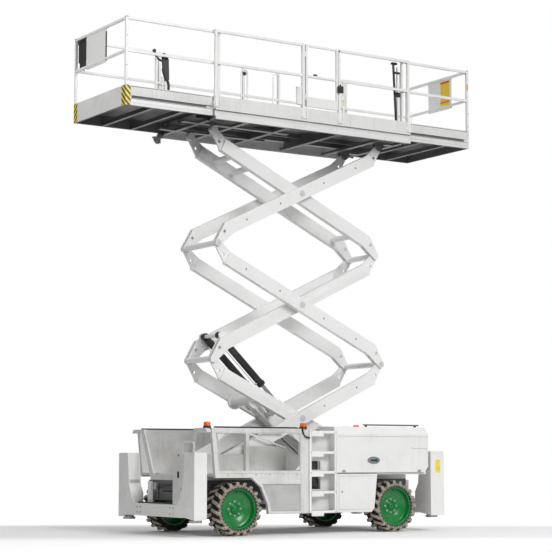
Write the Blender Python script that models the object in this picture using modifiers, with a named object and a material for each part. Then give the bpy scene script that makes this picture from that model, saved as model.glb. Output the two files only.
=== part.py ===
"""Rough-terrain scissor lift: a three-stage scissor on a four-wheel chassis, with a roll-out deck at both ends.

Metres, +Z up. +X is the front, +Y the machine's left. The origin is on the ground, midway between the axles.
The scissor stands part raised, both deck extensions are rolled out, and the outriggers are stowed.
"""

import math

import bmesh
import bpy
from mathutils import Matrix, Vector

# Driving dimensions
WHEELBASE = 2.84
HALF_WIDTH = 1.145
TYRE_RADIUS = 0.39
TYRE_WIDTH = 0.37
TYRE_OUTER_Y = 1.125
RIM_RADIUS = 0.292
ARM_PIN_SPAN = 3.49
ARM_REST_ANGLE = math.radians(30.0)
ARM_DEPTH = 0.20
ARM_THICKNESS = 0.10
PIN_OFFSET = 0.13
INNER_ARM_Y = 0.35
OUTER_ARM_Y = 0.48
STAGES = 3
BASE_PIN_SETBACK = 0.17
BASE_PIN_Z = 0.86
FRAME_FRONT_OVERHANG = 0.565
FRAME_REAR_OVERHANG = 0.61
CHASSIS_TOP_Z = 1.56
DECK_FRONT_X = 1.72
DECK_REAR_X = -1.93
DECK_HALF_WIDTH = 0.90
FLOOR_OVER_PIN = 0.265
RAIL_HEIGHT = 1.14
MID_RAIL_HEIGHT = 0.64
TOE_HEIGHT = 0.13
FRONT_REACH = 1.48
REAR_REACH = 1.27
GATE_FRONT_X = 0.11
GATE_REAR_X = -0.53

# Clearances
TOUCH = 0.0003
RUN = 0.0008
SLIDE = 0.0008
MOVE = 0.006

# Round sections
PIN_RADIUS = 0.025
BOSS_RADIUS = 0.055
CENTRE_PIN_RADIUS = 0.03
ROLLER_RADIUS = 0.06
SHAFT_RADIUS = 0.045
PIN_SIDES = 16
WHEEL_SIDES = 32

# Plates at the arm ends
FORK_PLATE = 0.025
TONGUE = 0.03
END_CUT = 0.24
END_LAP = 0.30
EYE_HOLE_RADIUS = 0.025

# Worked-out scissor geometry
AXLE_X = WHEELBASE / 2
BASE_PIN_X = -AXLE_X - BASE_PIN_SETBACK
FRAME_FRONT_X = AXLE_X + FRAME_FRONT_OVERHANG
FRAME_REAR_X = -AXLE_X - FRAME_REAR_OVERHANG
HALF_SPAN = math.sqrt((ARM_PIN_SPAN / 2) ** 2 - PIN_OFFSET ** 2)
SKEW = math.asin(2 * PIN_OFFSET / ARM_PIN_SPAN)
TUBE_ANGLE = ARM_REST_ANGLE - SKEW
STAGE_HEIGHT = ARM_PIN_SPAN * math.sin(ARM_REST_ANGLE)
FRONT_PIN_X = BASE_PIN_X + ARM_PIN_SPAN * math.cos(ARM_REST_ANGLE)
MIDDLE_X = (BASE_PIN_X + FRONT_PIN_X) / 2
TOP_PIN_Z = BASE_PIN_Z + STAGES * STAGE_HEIGHT
FLOOR_Z = TOP_PIN_Z + FLOOR_OVER_PIN
ARM_HALF = ARM_THICKNESS / 2

# Frame beams
RAIL_TOP_Z = BASE_PIN_Z - ROLLER_RADIUS
BEAM_BOTTOM_Z = 0.50
BEAM_IN_Y = 0.43
BEAM_OUT_Y = 0.57
CROSS_TOP_Z = 0.62
LOW_CROSS_TOP_Z = 0.56
WALL_Y = 0.545
AXLE_Z = TYRE_RADIUS

# Colours: name, colour, roughness, metallic
WHITE = ("white_paint", (0.80, 0.80, 0.79), 0.35, 0.0)
GREY = ("grey_paint", (0.42, 0.42, 0.42), 0.45, 0.0)
DARK = ("dark_steel", (0.05, 0.05, 0.05), 0.5, 0.3)
GREEN = ("green_paint", (0.01, 0.22, 0.05), 0.35, 0.0)
RUBBER = ("tyre_rubber", (0.045, 0.04, 0.036), 0.85, 0.0)
BLACK = ("black_paint", (0.012, 0.012, 0.012), 0.4, 0.0)
CHROME = ("rod_chrome", (0.6, 0.6, 0.6), 0.15, 1.0)
AMBER = ("amber_lens", (0.75, 0.12, 0.01), 0.2, 0.0)

parts = bpy.data.collections.new("scissor_lift")
cutters = bpy.data.collections.new("cutters")


def clear_scene():
    for item in list(bpy.data.objects):
        bpy.data.objects.remove(item, do_unlink=True)
    bpy.context.scene.collection.children.link(parts)
    bpy.context.scene.collection.children.link(cutters)


def material(finish):
    name, colour, roughness, metallic = finish
    found = bpy.data.materials.get(name)
    if found:
        return found
    made = bpy.data.materials.new(name)
    made.use_nodes = True
    shader = made.node_tree.nodes["Principled BSDF"]
    shader.inputs["Base Color"].default_value = (*colour, 1.0)
    shader.inputs["Roughness"].default_value = roughness
    shader.inputs["Metallic"].default_value = metallic
    made.diffuse_color = (*colour, 1.0)
    return made


def from_bmesh(name, shape):
    mesh = bpy.data.meshes.new(name)
    bmesh.ops.recalc_face_normals(shape, faces=shape.faces)
    shape.to_mesh(mesh)
    shape.free()
    made = bpy.data.objects.new(name, mesh)
    cutters.objects.link(made)
    return made


def box(low, high):
    """A block between two corners."""
    shape = bmesh.new()
    bmesh.ops.create_cube(shape, size=1.0)
    low, high = Vector(low), Vector(high)
    size = high - low
    shift = Matrix.Translation((low + high) / 2)
    stretch = Matrix.Diagonal((*size, 1.0))
    bmesh.ops.transform(shape, matrix=shift @ stretch, verts=shape.verts)
    return from_bmesh("box", shape)


def side_box(side, x, y, z):
    """A block on one side: x, y and z are low-high pairs, y measured outwards from the middle."""
    ends = sorted((side * y[0], side * y[1]))
    return box((x[0], ends[0], z[0]), (x[1], ends[1], z[1]))


def rod(start, end, radius, sides=PIN_SIDES, end_radius=None):
    """A round bar, or a cone, from start to end."""
    start, end = Vector(start), Vector(end)
    along = end - start
    shape = bmesh.new()
    bmesh.ops.create_cone(
        shape,
        cap_ends=True,
        segments=sides,
        radius1=radius,
        radius2=radius if end_radius is None else end_radius,
        depth=along.length,
    )
    turn = along.to_track_quat("Z", "Y").to_matrix().to_4x4()
    bmesh.ops.transform(
        shape, matrix=Matrix.Translation((start + end) / 2) @ turn, verts=shape.verts
    )
    return from_bmesh("rod", shape)


def wrap(points, low, high, plane="XZ"):
    """The convex plate round some points of a plane, from low to high across it."""
    shape = bmesh.new()
    for u, v in points:
        for w in (low, high):
            place = (u, w, v) if plane == "XZ" else (w, u, v)
            shape.verts.new(place)
    bmesh.ops.convex_hull(shape, input=shape.verts)
    bmesh.ops.dissolve_limit(
        shape, angle_limit=0.001, verts=shape.verts, edges=shape.edges
    )
    return from_bmesh("plate", shape)


def outline(points, low, high, plane="XZ"):
    """A flat outline, which may be hollow-cornered, given thickness by a curve's extrude."""
    curve = bpy.data.curves.new("outline", "CURVE")
    curve.dimensions = "2D"
    curve.fill_mode = "BOTH"
    curve.extrude = abs(high - low) / 2
    spline = curve.splines.new("POLY")
    spline.points.add(len(points) - 1)
    for point, (u, v) in zip(spline.points, points):
        point.co = (u, v, 0.0, 1.0)
    spline.use_cyclic_u = True
    flat = bpy.data.objects.new("outline", curve)
    middle = (low + high) / 2
    if plane == "XZ":
        flat.matrix_world = Matrix(
            ((1, 0, 0, 0), (0, 0, -1, middle), (0, 1, 0, 0), (0, 0, 0, 1))
        )
    else:
        flat.matrix_world = Matrix(
            ((0, 0, 1, middle), (1, 0, 0, 0), (0, 1, 0, 0), (0, 0, 0, 1))
        )
    cutters.objects.link(flat)
    bpy.context.view_layer.update()
    mesh = bpy.data.meshes.new_from_object(
        flat.evaluated_get(bpy.context.evaluated_depsgraph_get())
    )
    mesh.transform(flat.matrix_world)
    bpy.data.objects.remove(flat, do_unlink=True)
    shape = bmesh.new()
    shape.from_mesh(mesh)
    bmesh.ops.remove_doubles(shape, verts=shape.verts, dist=0.00001)
    return from_bmesh("outline", shape)


def circle(u, v, radius, sides=PIN_SIDES):
    """The corners of a round, for wrap."""
    return [
        (
            u + radius * math.cos(2 * math.pi * i / sides),
            v + radius * math.sin(2 * math.pi * i / sides),
        )
        for i in range(sides)
    ]


def turned(profile, segments):
    """A profile of (radius, along) points turned about Z by a Screw modifier."""
    shape = bmesh.new()
    corners = [shape.verts.new((radius, 0.0, along)) for radius, along in profile]
    for first, second in zip(corners, corners[1:] + corners[:1]):
        shape.edges.new((first, second))
    mesh = bpy.data.meshes.new("turned")
    shape.to_mesh(mesh)
    shape.free()
    made = bpy.data.objects.new("turned", mesh)
    cutters.objects.link(made)
    screw = made.modifiers.new("turn", "SCREW")
    screw.steps = segments
    screw.render_steps = segments
    screw.use_merge_vertices = True
    screw.merge_threshold = 0.0001
    apply_modifiers(made)
    return made


def apply_modifiers(made):
    bpy.context.view_layer.update()
    mesh = bpy.data.meshes.new_from_object(
        made.evaluated_get(bpy.context.evaluated_depsgraph_get())
    )
    made.modifiers.clear()
    made.data = mesh


def combine(base, others, operation):
    """Joins others to base, or cuts them from it, and removes them."""
    for other in others:
        step = base.modifiers.new("combine", "BOOLEAN")
        step.operation = operation
        step.solver = "EXACT"
        step.object = other
        apply_modifiers(base)
        bpy.data.objects.remove(other, do_unlink=True)
    return base


def join(first, *others):
    return combine(first, others, "UNION")


def cut(base, *others):
    return combine(base, others, "DIFFERENCE")


def move(made, matrix):
    made.data.transform(matrix)
    return made


def finish(made, name, finish_kind, smooth=False, pivot=None):
    """Names a finished piece, gives it its material and moves it among the parts."""
    made.name = name
    made.data.name = name
    made.data.materials.clear()
    made.data.materials.append(material(finish_kind))
    if smooth:
        made.data.shade_smooth()
        made.data.set_sharp_from_angle(angle=math.radians(35))
    if pivot is not None:
        made.data.transform(Matrix.Translation(-Vector(pivot)))
        made.location = pivot
    cutters.objects.unlink(made)
    parts.objects.link(made)
    return made


# ---------------------------------------------------------------- scissor arms


def on_arm(along, above):
    """A place given along and above the line of an arm's pins, in the arm's own axes."""
    return (
        -HALF_SPAN + along * math.cos(SKEW) - above * math.sin(SKEW),
        -PIN_OFFSET + along * math.sin(SKEW) + above * math.cos(SKEW),
    )


def end_plate(facing, end, y_low, y_high, hole=True):
    """A tapered plate from the tube to its pin: end -1 is the lower pin, +1 the upper."""
    pin_u = end * HALF_SPAN
    pin_v = end * PIN_OFFSET
    near = -end * ARM_DEPTH / 2
    corners = [
        (pin_u - end * END_LAP, near),
        (pin_u - end * END_CUT, near),
        (pin_u - end * END_LAP, -near),
        (pin_u - end * (END_CUT + 0.02), -near),
    ]
    points = circle(pin_u, pin_v, BOSS_RADIUS) + corners
    plate = wrap([(facing * u, v) for u, v in points], y_low, y_high)
    if hole:
        place = facing * (pin_u - end * 0.165)
        height = pin_v - end * 0.112
        drill = rod((place, y_low - 0.01, height), (place, y_high + 0.01, height), EYE_HOLE_RADIUS, 10)
        cut(plate, drill)
    return plate


def arm_beam(facing, centre_y):
    """One side's tube with its forked lower end and its tongue at the upper end."""
    low, high = centre_y - ARM_HALF, centre_y + ARM_HALF
    half = HALF_SPAN - END_CUT
    beam = box((-half, low, -ARM_DEPTH / 2), (half, high, ARM_DEPTH / 2))
    join(
        beam,
        end_plate(facing, -1, low, low + FORK_PLATE),
        end_plate(facing, -1, high - FORK_PLATE, high),
        end_plate(facing, 1, centre_y - TONGUE / 2, centre_y + TONGUE / 2),
    )
    drill = cross_rod(facing * HALF_SPAN, PIN_OFFSET, low - 0.01, high + 0.01, PIN_RADIUS + RUN)
    return cut(beam, drill)


def cross_rod(u, v, y_low, y_high, radius, sides=PIN_SIDES):
    return rod((u, y_low, v), (u, y_high, v), radius, sides)


def arm_pair(centre_y, facing):
    """Both sides of an arm, joined by the shaft through its lower pins."""
    left = arm_beam(facing, centre_y)
    right = arm_beam(facing, -centre_y)
    reach = centre_y + ARM_HALF - 0.001
    shaft = cross_rod(-facing * HALF_SPAN, -PIN_OFFSET, -reach, reach, PIN_RADIUS)
    body = join(left, shaft, right)
    inner = centre_y - ARM_HALF + 0.01
    sleeve = cross_rod(-facing * HALF_SPAN, -PIN_OFFSET, -inner, inner, SHAFT_RADIUS)
    return join(body, sleeve)


def place_arm(body, name, facing, stage, pivot):
    """Turns an arm to its rest angle: pivot is lower, centre or upper, and becomes the origin."""
    pivots = {
        "lower": (-facing * HALF_SPAN, -PIN_OFFSET),
        "centre": (0.0, 0.0),
        "upper": (facing * HALF_SPAN, PIN_OFFSET),
    }
    u, v = pivots[pivot]
    body.data.transform(Matrix.Translation((-u, 0.0, -v)))
    centre_z = BASE_PIN_Z + (stage - 0.5) * STAGE_HEIGHT
    turn = Matrix.Rotation(-facing * TUBE_ANGLE, 4, "Y")
    offset = turn @ Vector((u, 0.0, v))
    finish(body, name, WHITE)
    body.location = Vector((MIDDLE_X, 0.0, centre_z)) + offset
    body.rotation_euler = (0.0, -facing * TUBE_ANGLE, 0.0)


def add_centre_pins(body):
    """Stub pins on an inner arm that the outer arm of its stage turns on."""
    start = INNER_ARM_Y + ARM_HALF - 0.01
    end = OUTER_ARM_Y + ARM_HALF + 0.005
    for side in (-1, 1):
        join(body, cross_rod(0.0, 0.0, *sorted((side * start, side * end)), CENTRE_PIN_RADIUS))


def bore_centre(body):
    for side in (-1, 1):
        low, high = sorted((side * 0.42, side * 0.54))
        cut(body, cross_rod(0.0, 0.0, low, high, CENTRE_PIN_RADIUS + RUN))


def inner_tube(body, facing, u, v, radius):
    reach = INNER_ARM_Y - ARM_HALF + 0.01
    join(body, cross_rod(facing * u, v, -reach, reach, radius))


# Lift cylinders, given on the pin lines of the arms that carry them
UPPER_HEAD = (0.362, 0.22)
UPPER_FOOT = (1.88, 0.03)
UPPER_Y = 0.21
UPPER_BARREL_RADIUS = 0.055
UPPER_ROD_RADIUS = 0.03
UPPER_BARREL_LENGTH = 1.06
UPPER_ROD_LENGTH = 1.14
LOWER_HEAD = (2.34, -0.16)
LOWER_FOOT = (-1.15, 0.55)
LOWER_BARREL_RADIUS = 0.038
LOWER_ROD_RADIUS = 0.02
LOWER_BARREL_LENGTH = 0.62
LOWER_ROD_LENGTH = 1.84
EYE_HALF = 0.02
HEAD_SHAFT_RADIUS = 0.03
BIG_TUBE = (2.50, -0.13)
BIG_TUBE_RADIUS = 0.075
COLLAR_RADIUS = 0.12


def make_arm_1_inner():
    body = arm_pair(INNER_ARM_Y, 1)
    add_centre_pins(body)
    u, v = on_arm(*BIG_TUBE)
    inner_tube(body, 1, u, v, BIG_TUBE_RADIUS)
    face = INNER_ARM_Y - ARM_HALF
    for side in (-1, 1):
        ends = sorted((side * (face - 0.03), side * (face + 0.01)))
        join(body, cross_rod(u, v, *ends, COLLAR_RADIUS, 32))
    foot_u, foot_v = on_arm(*UPPER_FOOT)
    for side in (-1, 1):
        ends = sorted((side * (UPPER_Y + UPPER_ROD_RADIUS + TOUCH), side * (face + 0.01)))
        join(body, cross_rod(foot_u, foot_v, *ends, 0.04))
    head_u, head_v = on_arm(*LOWER_HEAD)
    for side in (-1, 1):
        ends = sorted((side * (EYE_HALF + TOUCH), side * (EYE_HALF + 0.025)))
        lug = wrap(circle(head_u, head_v, 0.045) + circle(u, v, 0.045), *ends)
        join(body, lug)
    pin = cross_rod(head_u, head_v, -EYE_HALF - 0.01, EYE_HALF + 0.01, 0.018)
    join(body, pin)
    place_arm(body, "arm_1_inner", 1, 1, "lower")


def make_arm_2_inner():
    body = arm_pair(INNER_ARM_Y, -1)
    add_centre_pins(body)
    head_u, head_v = on_arm(*UPPER_HEAD)
    base_points = [on_arm(0.28, 0.10), on_arm(0.62, 0.12), on_arm(0.52, 0.17)]
    face = INNER_ARM_Y - ARM_HALF
    points = [(-u, v) for u, v in circle(head_u, head_v, BOSS_RADIUS) + base_points]
    for side in (-1, 1):
        plate = wrap(points, *sorted((side * (face - 0.03), side * (face - TOUCH))))
        weld_x = tuple(sorted((HALF_SPAN - 0.30, HALF_SPAN - 0.60)))
        weld = side_box(side, weld_x, (face - 0.03, face + 0.01), (-0.06, ARM_DEPTH / 2))
        join(body, join(plate, weld))
    shaft_reach = face - TOUCH
    join(body, cross_rod(-head_u, head_v, -shaft_reach, shaft_reach, HEAD_SHAFT_RADIUS))
    inner_tube(body, -1, HALF_SPAN - 0.40, 0.0, SHAFT_RADIUS)
    place_arm(body, "arm_2_inner", -1, 2, "lower")


def make_arm_3_inner():
    body = arm_pair(INNER_ARM_Y, 1)
    add_centre_pins(body)
    for u in (0.85, 1.20):
        inner_tube(body, 1, u, 0.0, SHAFT_RADIUS)
    inner_tube(body, 1, -HALF_SPAN + 0.45, 0.0, SHAFT_RADIUS)
    for side in (-1, 1):
        low, high = sorted((side * (INNER_ARM_Y - 0.045), side * (INNER_ARM_Y + 0.045)))
        join(body, cross_rod(HALF_SPAN, PIN_OFFSET, low, high, ROLLER_RADIUS))
    place_arm(body, "arm_3_inner", 1, 3, "lower")


def make_outer_arms():
    for stage in (1, 2, 3):
        facing = -1 if stage % 2 else 1
        body = arm_pair(OUTER_ARM_Y, facing)
        bore_centre(body)
        if stage == 1:
            for side in (-1, 1):
                gap = ARM_HALF - FORK_PLATE + 0.001
                low, high = sorted((side * (OUTER_ARM_Y - gap), side * (OUTER_ARM_Y + gap)))
                join(body, cross_rod(-facing * HALF_SPAN, -PIN_OFFSET, low, high, ROLLER_RADIUS - TOUCH))
        place_arm(body, f"arm_{stage}_outer", facing, stage, "centre")


# ---------------------------------------------------------------- lift cylinders


def world_on_arm(stage, facing, along, above):
    """A place on an arm's pin line in the world, at rest."""
    base_z = BASE_PIN_Z + (stage - 1) * STAGE_HEIGHT
    base_x = BASE_PIN_X if facing > 0 else FRONT_PIN_X
    run = along * math.cos(ARM_REST_ANGLE) - above * math.sin(ARM_REST_ANGLE)
    rise = along * math.sin(ARM_REST_ANGLE) + above * math.cos(ARM_REST_ANGLE)
    return Vector((base_x + facing * run, 0.0, base_z + rise))


def cylinder_pair(head, foot, y, radius, rod_radius, barrel_length, rod_length, bore_start):
    """A barrel hung from its head eye and the rod in it, lying on one straight line."""
    head = head + Vector((0.0, y, 0.0))
    foot = foot + Vector((0.0, y, 0.0))
    along = (foot - head).normalized()
    barrel = rod(head + along * (HEAD_SHAFT_RADIUS + 0.02), head + along * barrel_length, radius, 28)
    cut(barrel, rod(head + along * bore_start, head + along * (barrel_length + 0.01), rod_radius + RUN))
    piston = rod(foot - along * rod_length, foot, rod_radius)
    return barrel, piston, along


def make_upper_cylinders():
    head = world_on_arm(2, -1, *UPPER_HEAD)
    foot = world_on_arm(1, 1, *UPPER_FOOT)
    for side, word in ((1, "left"), (-1, "right")):
        y = side * UPPER_Y
        barrel, piston, along = cylinder_pair(
            head,
            foot,
            y,
            UPPER_BARREL_RADIUS,
            UPPER_ROD_RADIUS,
            UPPER_BARREL_LENGTH,
            UPPER_ROD_LENGTH,
            0.18,
        )
        eye = rod((head.x, y - 0.035, head.z), (head.x, y + 0.035, head.z), UPPER_BARREL_RADIUS)
        join(barrel, eye)
        cut(
            barrel,
            rod((head.x, y - 0.06, head.z), (head.x, y + 0.06, head.z), HEAD_SHAFT_RADIUS + RUN),
        )
        eye_ends = (y - UPPER_ROD_RADIUS, y + UPPER_ROD_RADIUS)
        join(piston, rod((foot.x, eye_ends[0], foot.z), (foot.x, eye_ends[1], foot.z), 0.05))
        finish(barrel, f"upper_barrel_{word}", BLACK, True, head + Vector((0.0, y, 0.0)))
        finish(piston, f"upper_rod_{word}", CHROME, True, foot + Vector((0.0, y, 0.0)))


def make_lower_cylinder():
    head = world_on_arm(1, 1, *LOWER_HEAD)
    foot = Vector((LOWER_FOOT[0], 0.0, LOWER_FOOT[1]))
    barrel, piston, along = cylinder_pair(
        head,
        foot,
        0.0,
        LOWER_BARREL_RADIUS,
        LOWER_ROD_RADIUS,
        LOWER_BARREL_LENGTH,
        LOWER_ROD_LENGTH,
        0.07,
    )
    lug_slot_high = rod((head.x, EYE_HALF, head.z), (head.x, 0.06, head.z), 0.075)
    lug_slot_low = rod((head.x, -0.06, head.z), (head.x, -EYE_HALF, head.z), 0.075)
    cut(barrel, lug_slot_high, lug_slot_low)
    join(barrel, rod((head.x, -EYE_HALF, head.z), (head.x, EYE_HALF, head.z), 0.04))
    join(barrel, rod(head + along * 0.03, head + along * 0.06, EYE_HALF - 0.001))
    cut(barrel, rod((head.x, -0.06, head.z), (head.x, 0.06, head.z), 0.018 + RUN))
    join(piston, rod((foot.x, -EYE_HALF, foot.z), (foot.x, EYE_HALF, foot.z), 0.035))
    finish(barrel, "lower_barrel", WHITE, True, head)
    finish(piston, "lower_rod", DARK, True, foot)


# ---------------------------------------------------------------- chassis


def make_main_frame():
    """Two box beams that the front rollers run on, cross members, and the rear pivot lugs."""
    beams = [
        side_box(side, (FRAME_REAR_X, FRAME_FRONT_X), (BEAM_IN_Y, BEAM_OUT_Y), (BEAM_BOTTOM_Z, RAIL_TOP_Z))
        for side in (-1, 1)
    ]
    body = beams[0]
    for x in (-1.96, BASE_PIN_X, -0.60, 0.35, 1.42, 1.92):
        width = 0.09 if x == BASE_PIN_X else 0.07
        top_z = LOW_CROSS_TOP_Z if x == -0.60 else CROSS_TOP_Z
        low_corner = (x - width / 2, -BEAM_IN_Y - 0.01, BEAM_BOTTOM_Z)
        join(body, box(low_corner, (x + width / 2, BEAM_IN_Y + 0.01, top_z)))
    join(body, beams[1])
    half = TONGUE / 2
    for side in (-1, 1):
        centre = side * INNER_ARM_Y
        points = circle(BASE_PIN_X, BASE_PIN_Z, BOSS_RADIUS) + [
            (BASE_PIN_X - 0.11, CROSS_TOP_Z - 0.01),
            (BASE_PIN_X + 0.11, CROSS_TOP_Z - 0.01),
        ]
        lug = wrap(points, centre - half, centre + half)
        foot = box(
            (BASE_PIN_X - 0.11, centre - 0.06, BEAM_BOTTOM_Z + 0.05),
            (BASE_PIN_X + 0.11, centre + 0.06, CROSS_TOP_Z - 0.005),
        )
        join(lug, foot)
        drill = rod(
            (BASE_PIN_X, centre - 0.05, BASE_PIN_Z),
            (BASE_PIN_X, centre + 0.05, BASE_PIN_Z),
            PIN_RADIUS + RUN,
        )
        cut(lug, drill)
        join(body, lug)
    foot_x, foot_z = LOWER_FOOT
    for side in (-1, 1):
        ends = sorted((side * (EYE_HALF + TOUCH), side * (EYE_HALF + 0.03)))
        lug = box((BASE_PIN_X, ends[0], BEAM_BOTTOM_Z + 0.01), (foot_x + 0.05, ends[1], foot_z + 0.05))
        join(body, lug)
    finish(body, "main_frame", GREY)


def make_front_portal():
    """The tub-shaped plate that closes the front of the frame, its sides leaning outwards."""
    low_z = RAIL_TOP_Z + TOUCH
    x_low, x_high = FRAME_FRONT_X - 0.028, FRAME_FRONT_X
    bottom_y, top_y, deep = 0.44, 0.76, 0.085
    points = [
        (-top_y - deep, CHASSIS_TOP_Z - TOUCH),
        (-bottom_y - deep, low_z),
        (bottom_y + deep, low_z),
        (top_y + deep, CHASSIS_TOP_Z - TOUCH),
        (top_y, CHASSIS_TOP_Z - TOUCH),
        (bottom_y, low_z + deep),
        (-bottom_y, low_z + deep),
        (-top_y, CHASSIS_TOP_Z - TOUCH),
    ]
    body = outline(points, x_low, x_high, "YZ")
    for side in (-1, 1):
        ear = [
            (side * (top_y + 0.02), CHASSIS_TOP_Z - 0.06),
            (side * 1.12, CHASSIS_TOP_Z - 0.06),
            (side * 1.12, CHASSIS_TOP_Z - 0.045),
            (side * 1.085, CHASSIS_TOP_Z - TOUCH),
            (side * (top_y + 0.02), CHASSIS_TOP_Z - TOUCH),
        ]
        join(body, wrap(ear, 1.91, FRAME_FRONT_X, "YZ"))
    finish(body, "front_portal", WHITE)


SIDE_Y = (1.06, 1.12)
SHELF_Z = (2 * TYRE_RADIUS + 0.06, 2 * TYRE_RADIUS + 0.12)


def make_side_frame(side, word):
    """The front half's side: a truss with a wheel arch, the shelf over the wheel and a bulkhead."""
    points = [
        (AXLE_X + 0.48, CHASSIS_TOP_Z),
        (0.21, CHASSIS_TOP_Z),
        (0.21, 0.31),
        (AXLE_X - 0.50, 0.31),
        (AXLE_X - 0.48, 0.45),
        (AXLE_X - 0.37, 0.70),
        (AXLE_X - 0.20, SHELF_Z[0]),
        (AXLE_X + 0.41, SHELF_Z[0]),
    ]
    ends = sorted((side * SIDE_Y[0], side * SIDE_Y[1]))
    body = outline(points, *ends)
    window = [
        (1.825, CHASSIS_TOP_Z - 0.075),
        (0.36, CHASSIS_TOP_Z - 0.075),
        (0.36, 0.94),
        (1.77, 0.94),
    ]
    pane = sorted((side * (SIDE_Y[0] - 0.01), side * (SIDE_Y[1] + 0.01)))
    if side < 0:
        pane = sorted((side * (SIDE_Y[1] - 0.02), side * (SIDE_Y[1] + 0.01)))
    cut(body, outline(window, *pane))
    recess = [(0.36, 0.35), (0.88, 0.35), (0.90, 0.46), (1.03, 0.74), (0.36, 0.74)]
    cut(body, outline(recess, *sorted((side * (SIDE_Y[1] - 0.015), side * (SIDE_Y[1] + 0.01)))))
    join(body, side_box(side, (0.21, 1.83), (WALL_Y, SIDE_Y[0] + 0.01), (SHELF_Z[0] + 0.02, SHELF_Z[1])))
    join(body, side_box(side, (0.25, 1.83), (WALL_Y, BEAM_OUT_Y), (RAIL_TOP_Z + TOUCH, SHELF_Z[1] - 0.01)))
    join(
        body,
        side_box(side, (0.215, 0.255), (BEAM_OUT_Y + TOUCH, SIDE_Y[0] + 0.01), (BEAM_BOTTOM_Z, SHELF_Z[1] - 0.01)),
    )
    finish(body, f"side_frame_{word}", WHITE)


LADDER_X = (-0.29, 0.20)
STEPS_Z = (0.33, 0.62, 0.915, 1.21, 1.515)


def make_ladder():
    """Boarding ladder: two uprights, five treads and a back plate with two openings."""
    body = side_box(1, (LADDER_X[0] + 0.01, LADDER_X[1] - 0.01), (0.955, 0.975), (0.34, 1.52))
    cut(
        body,
        box((-0.10, 0.94, 0.66), (0.13, 1.0, 0.88)),
        box((-0.10, 0.94, 0.95), (0.13, 1.0, 1.08)),
    )
    for x in ((LADDER_X[1] - 0.035, LADDER_X[1]), (LADDER_X[0], LADDER_X[0] + 0.035)):
        join(body, side_box(1, x, (0.96, 1.13), (0.31, CHASSIS_TOP_Z - 0.01)))
    for z in STEPS_Z:
        join(body, side_box(1, (LADDER_X[0] + 0.02, LADDER_X[1] - 0.02), (0.96, 1.125), (z - 0.018, z + 0.018)))
    join(body, side_box(1, (LADDER_X[0] + 0.05, LADDER_X[1] - 0.05), (0.72, 0.965), (0.56, 0.62)))
    join(body, side_box(1, (LADDER_X[0] + 0.05, LADDER_X[1] - 0.05), (BEAM_OUT_Y + TOUCH, 0.73), (0.52, 0.62)))
    finish(body, "boarding_ladder", WHITE)


def make_side_cabinet():
    """The closed cabinet on the right that stands where the left has its ladder."""
    body = side_box(-1, (LADDER_X[0], LADDER_X[1]), (BEAM_OUT_Y + TOUCH, 1.125), (0.31, CHASSIS_TOP_Z - 0.01))
    finish(body, "side_cabinet_right", WHITE)


BAY_X = (-2.03, -0.30)
BAY_FLOOR_Z = (0.875, 0.905)
BAY_WALL_TOP_Z = 1.46
COVER_Y = (1.105, 1.135)
COVER_TOP = (1.58, 1.60)
HINGE_Y = 0.60
HINGE_RADIUS = 0.016
HINGE_Z = COVER_TOP[1] - 0.011


def make_rear_bay(side, word):
    """The open-topped bay behind the ladder, and the closed box under it ahead of the wheel."""
    wall_top = COVER_TOP[0] - 0.01
    body = side_box(side, BAY_X, (WALL_Y, 1.09), BAY_FLOOR_Z)
    join(body, side_box(side, BAY_X, (WALL_Y, WALL_Y + 0.025), (RAIL_TOP_Z + TOUCH, wall_top)))
    for x in ((BAY_X[0], BAY_X[0] + 0.03), (BAY_X[1] - 0.03, BAY_X[1])):
        join(body, side_box(side, x, (WALL_Y + 0.01, 1.085), (BAY_FLOOR_Z[0] + 0.01, BAY_WALL_TOP_Z)))
    flange_y = (WALL_Y, HINGE_Y - HINGE_RADIUS - TOUCH)
    join(body, side_box(side, (BAY_X[0] + 0.1, BAY_X[1] - 0.1), flange_y, (wall_top - 0.02, COVER_TOP[1])))
    lower_x = LADDER_X[0] - 0.02
    points = [
        (lower_x, BAY_FLOOR_Z[0] + 0.01),
        (lower_x, 0.31),
        (-0.94, 0.31),
        (-1.00, 0.36),
        (-1.06, BAY_FLOOR_Z[0] + 0.01),
    ]
    join(body, outline(points, *sorted((side * 0.62, side * 1.12))))
    finish(body, f"rear_bay_{word}", WHITE)


def make_engine():
    body = side_box(-1, (-1.75, -0.75), (0.62, 1.02), (BAY_FLOOR_Z[1] + TOUCH, 1.40))
    finish(body, "engine_block", DARK)


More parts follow.
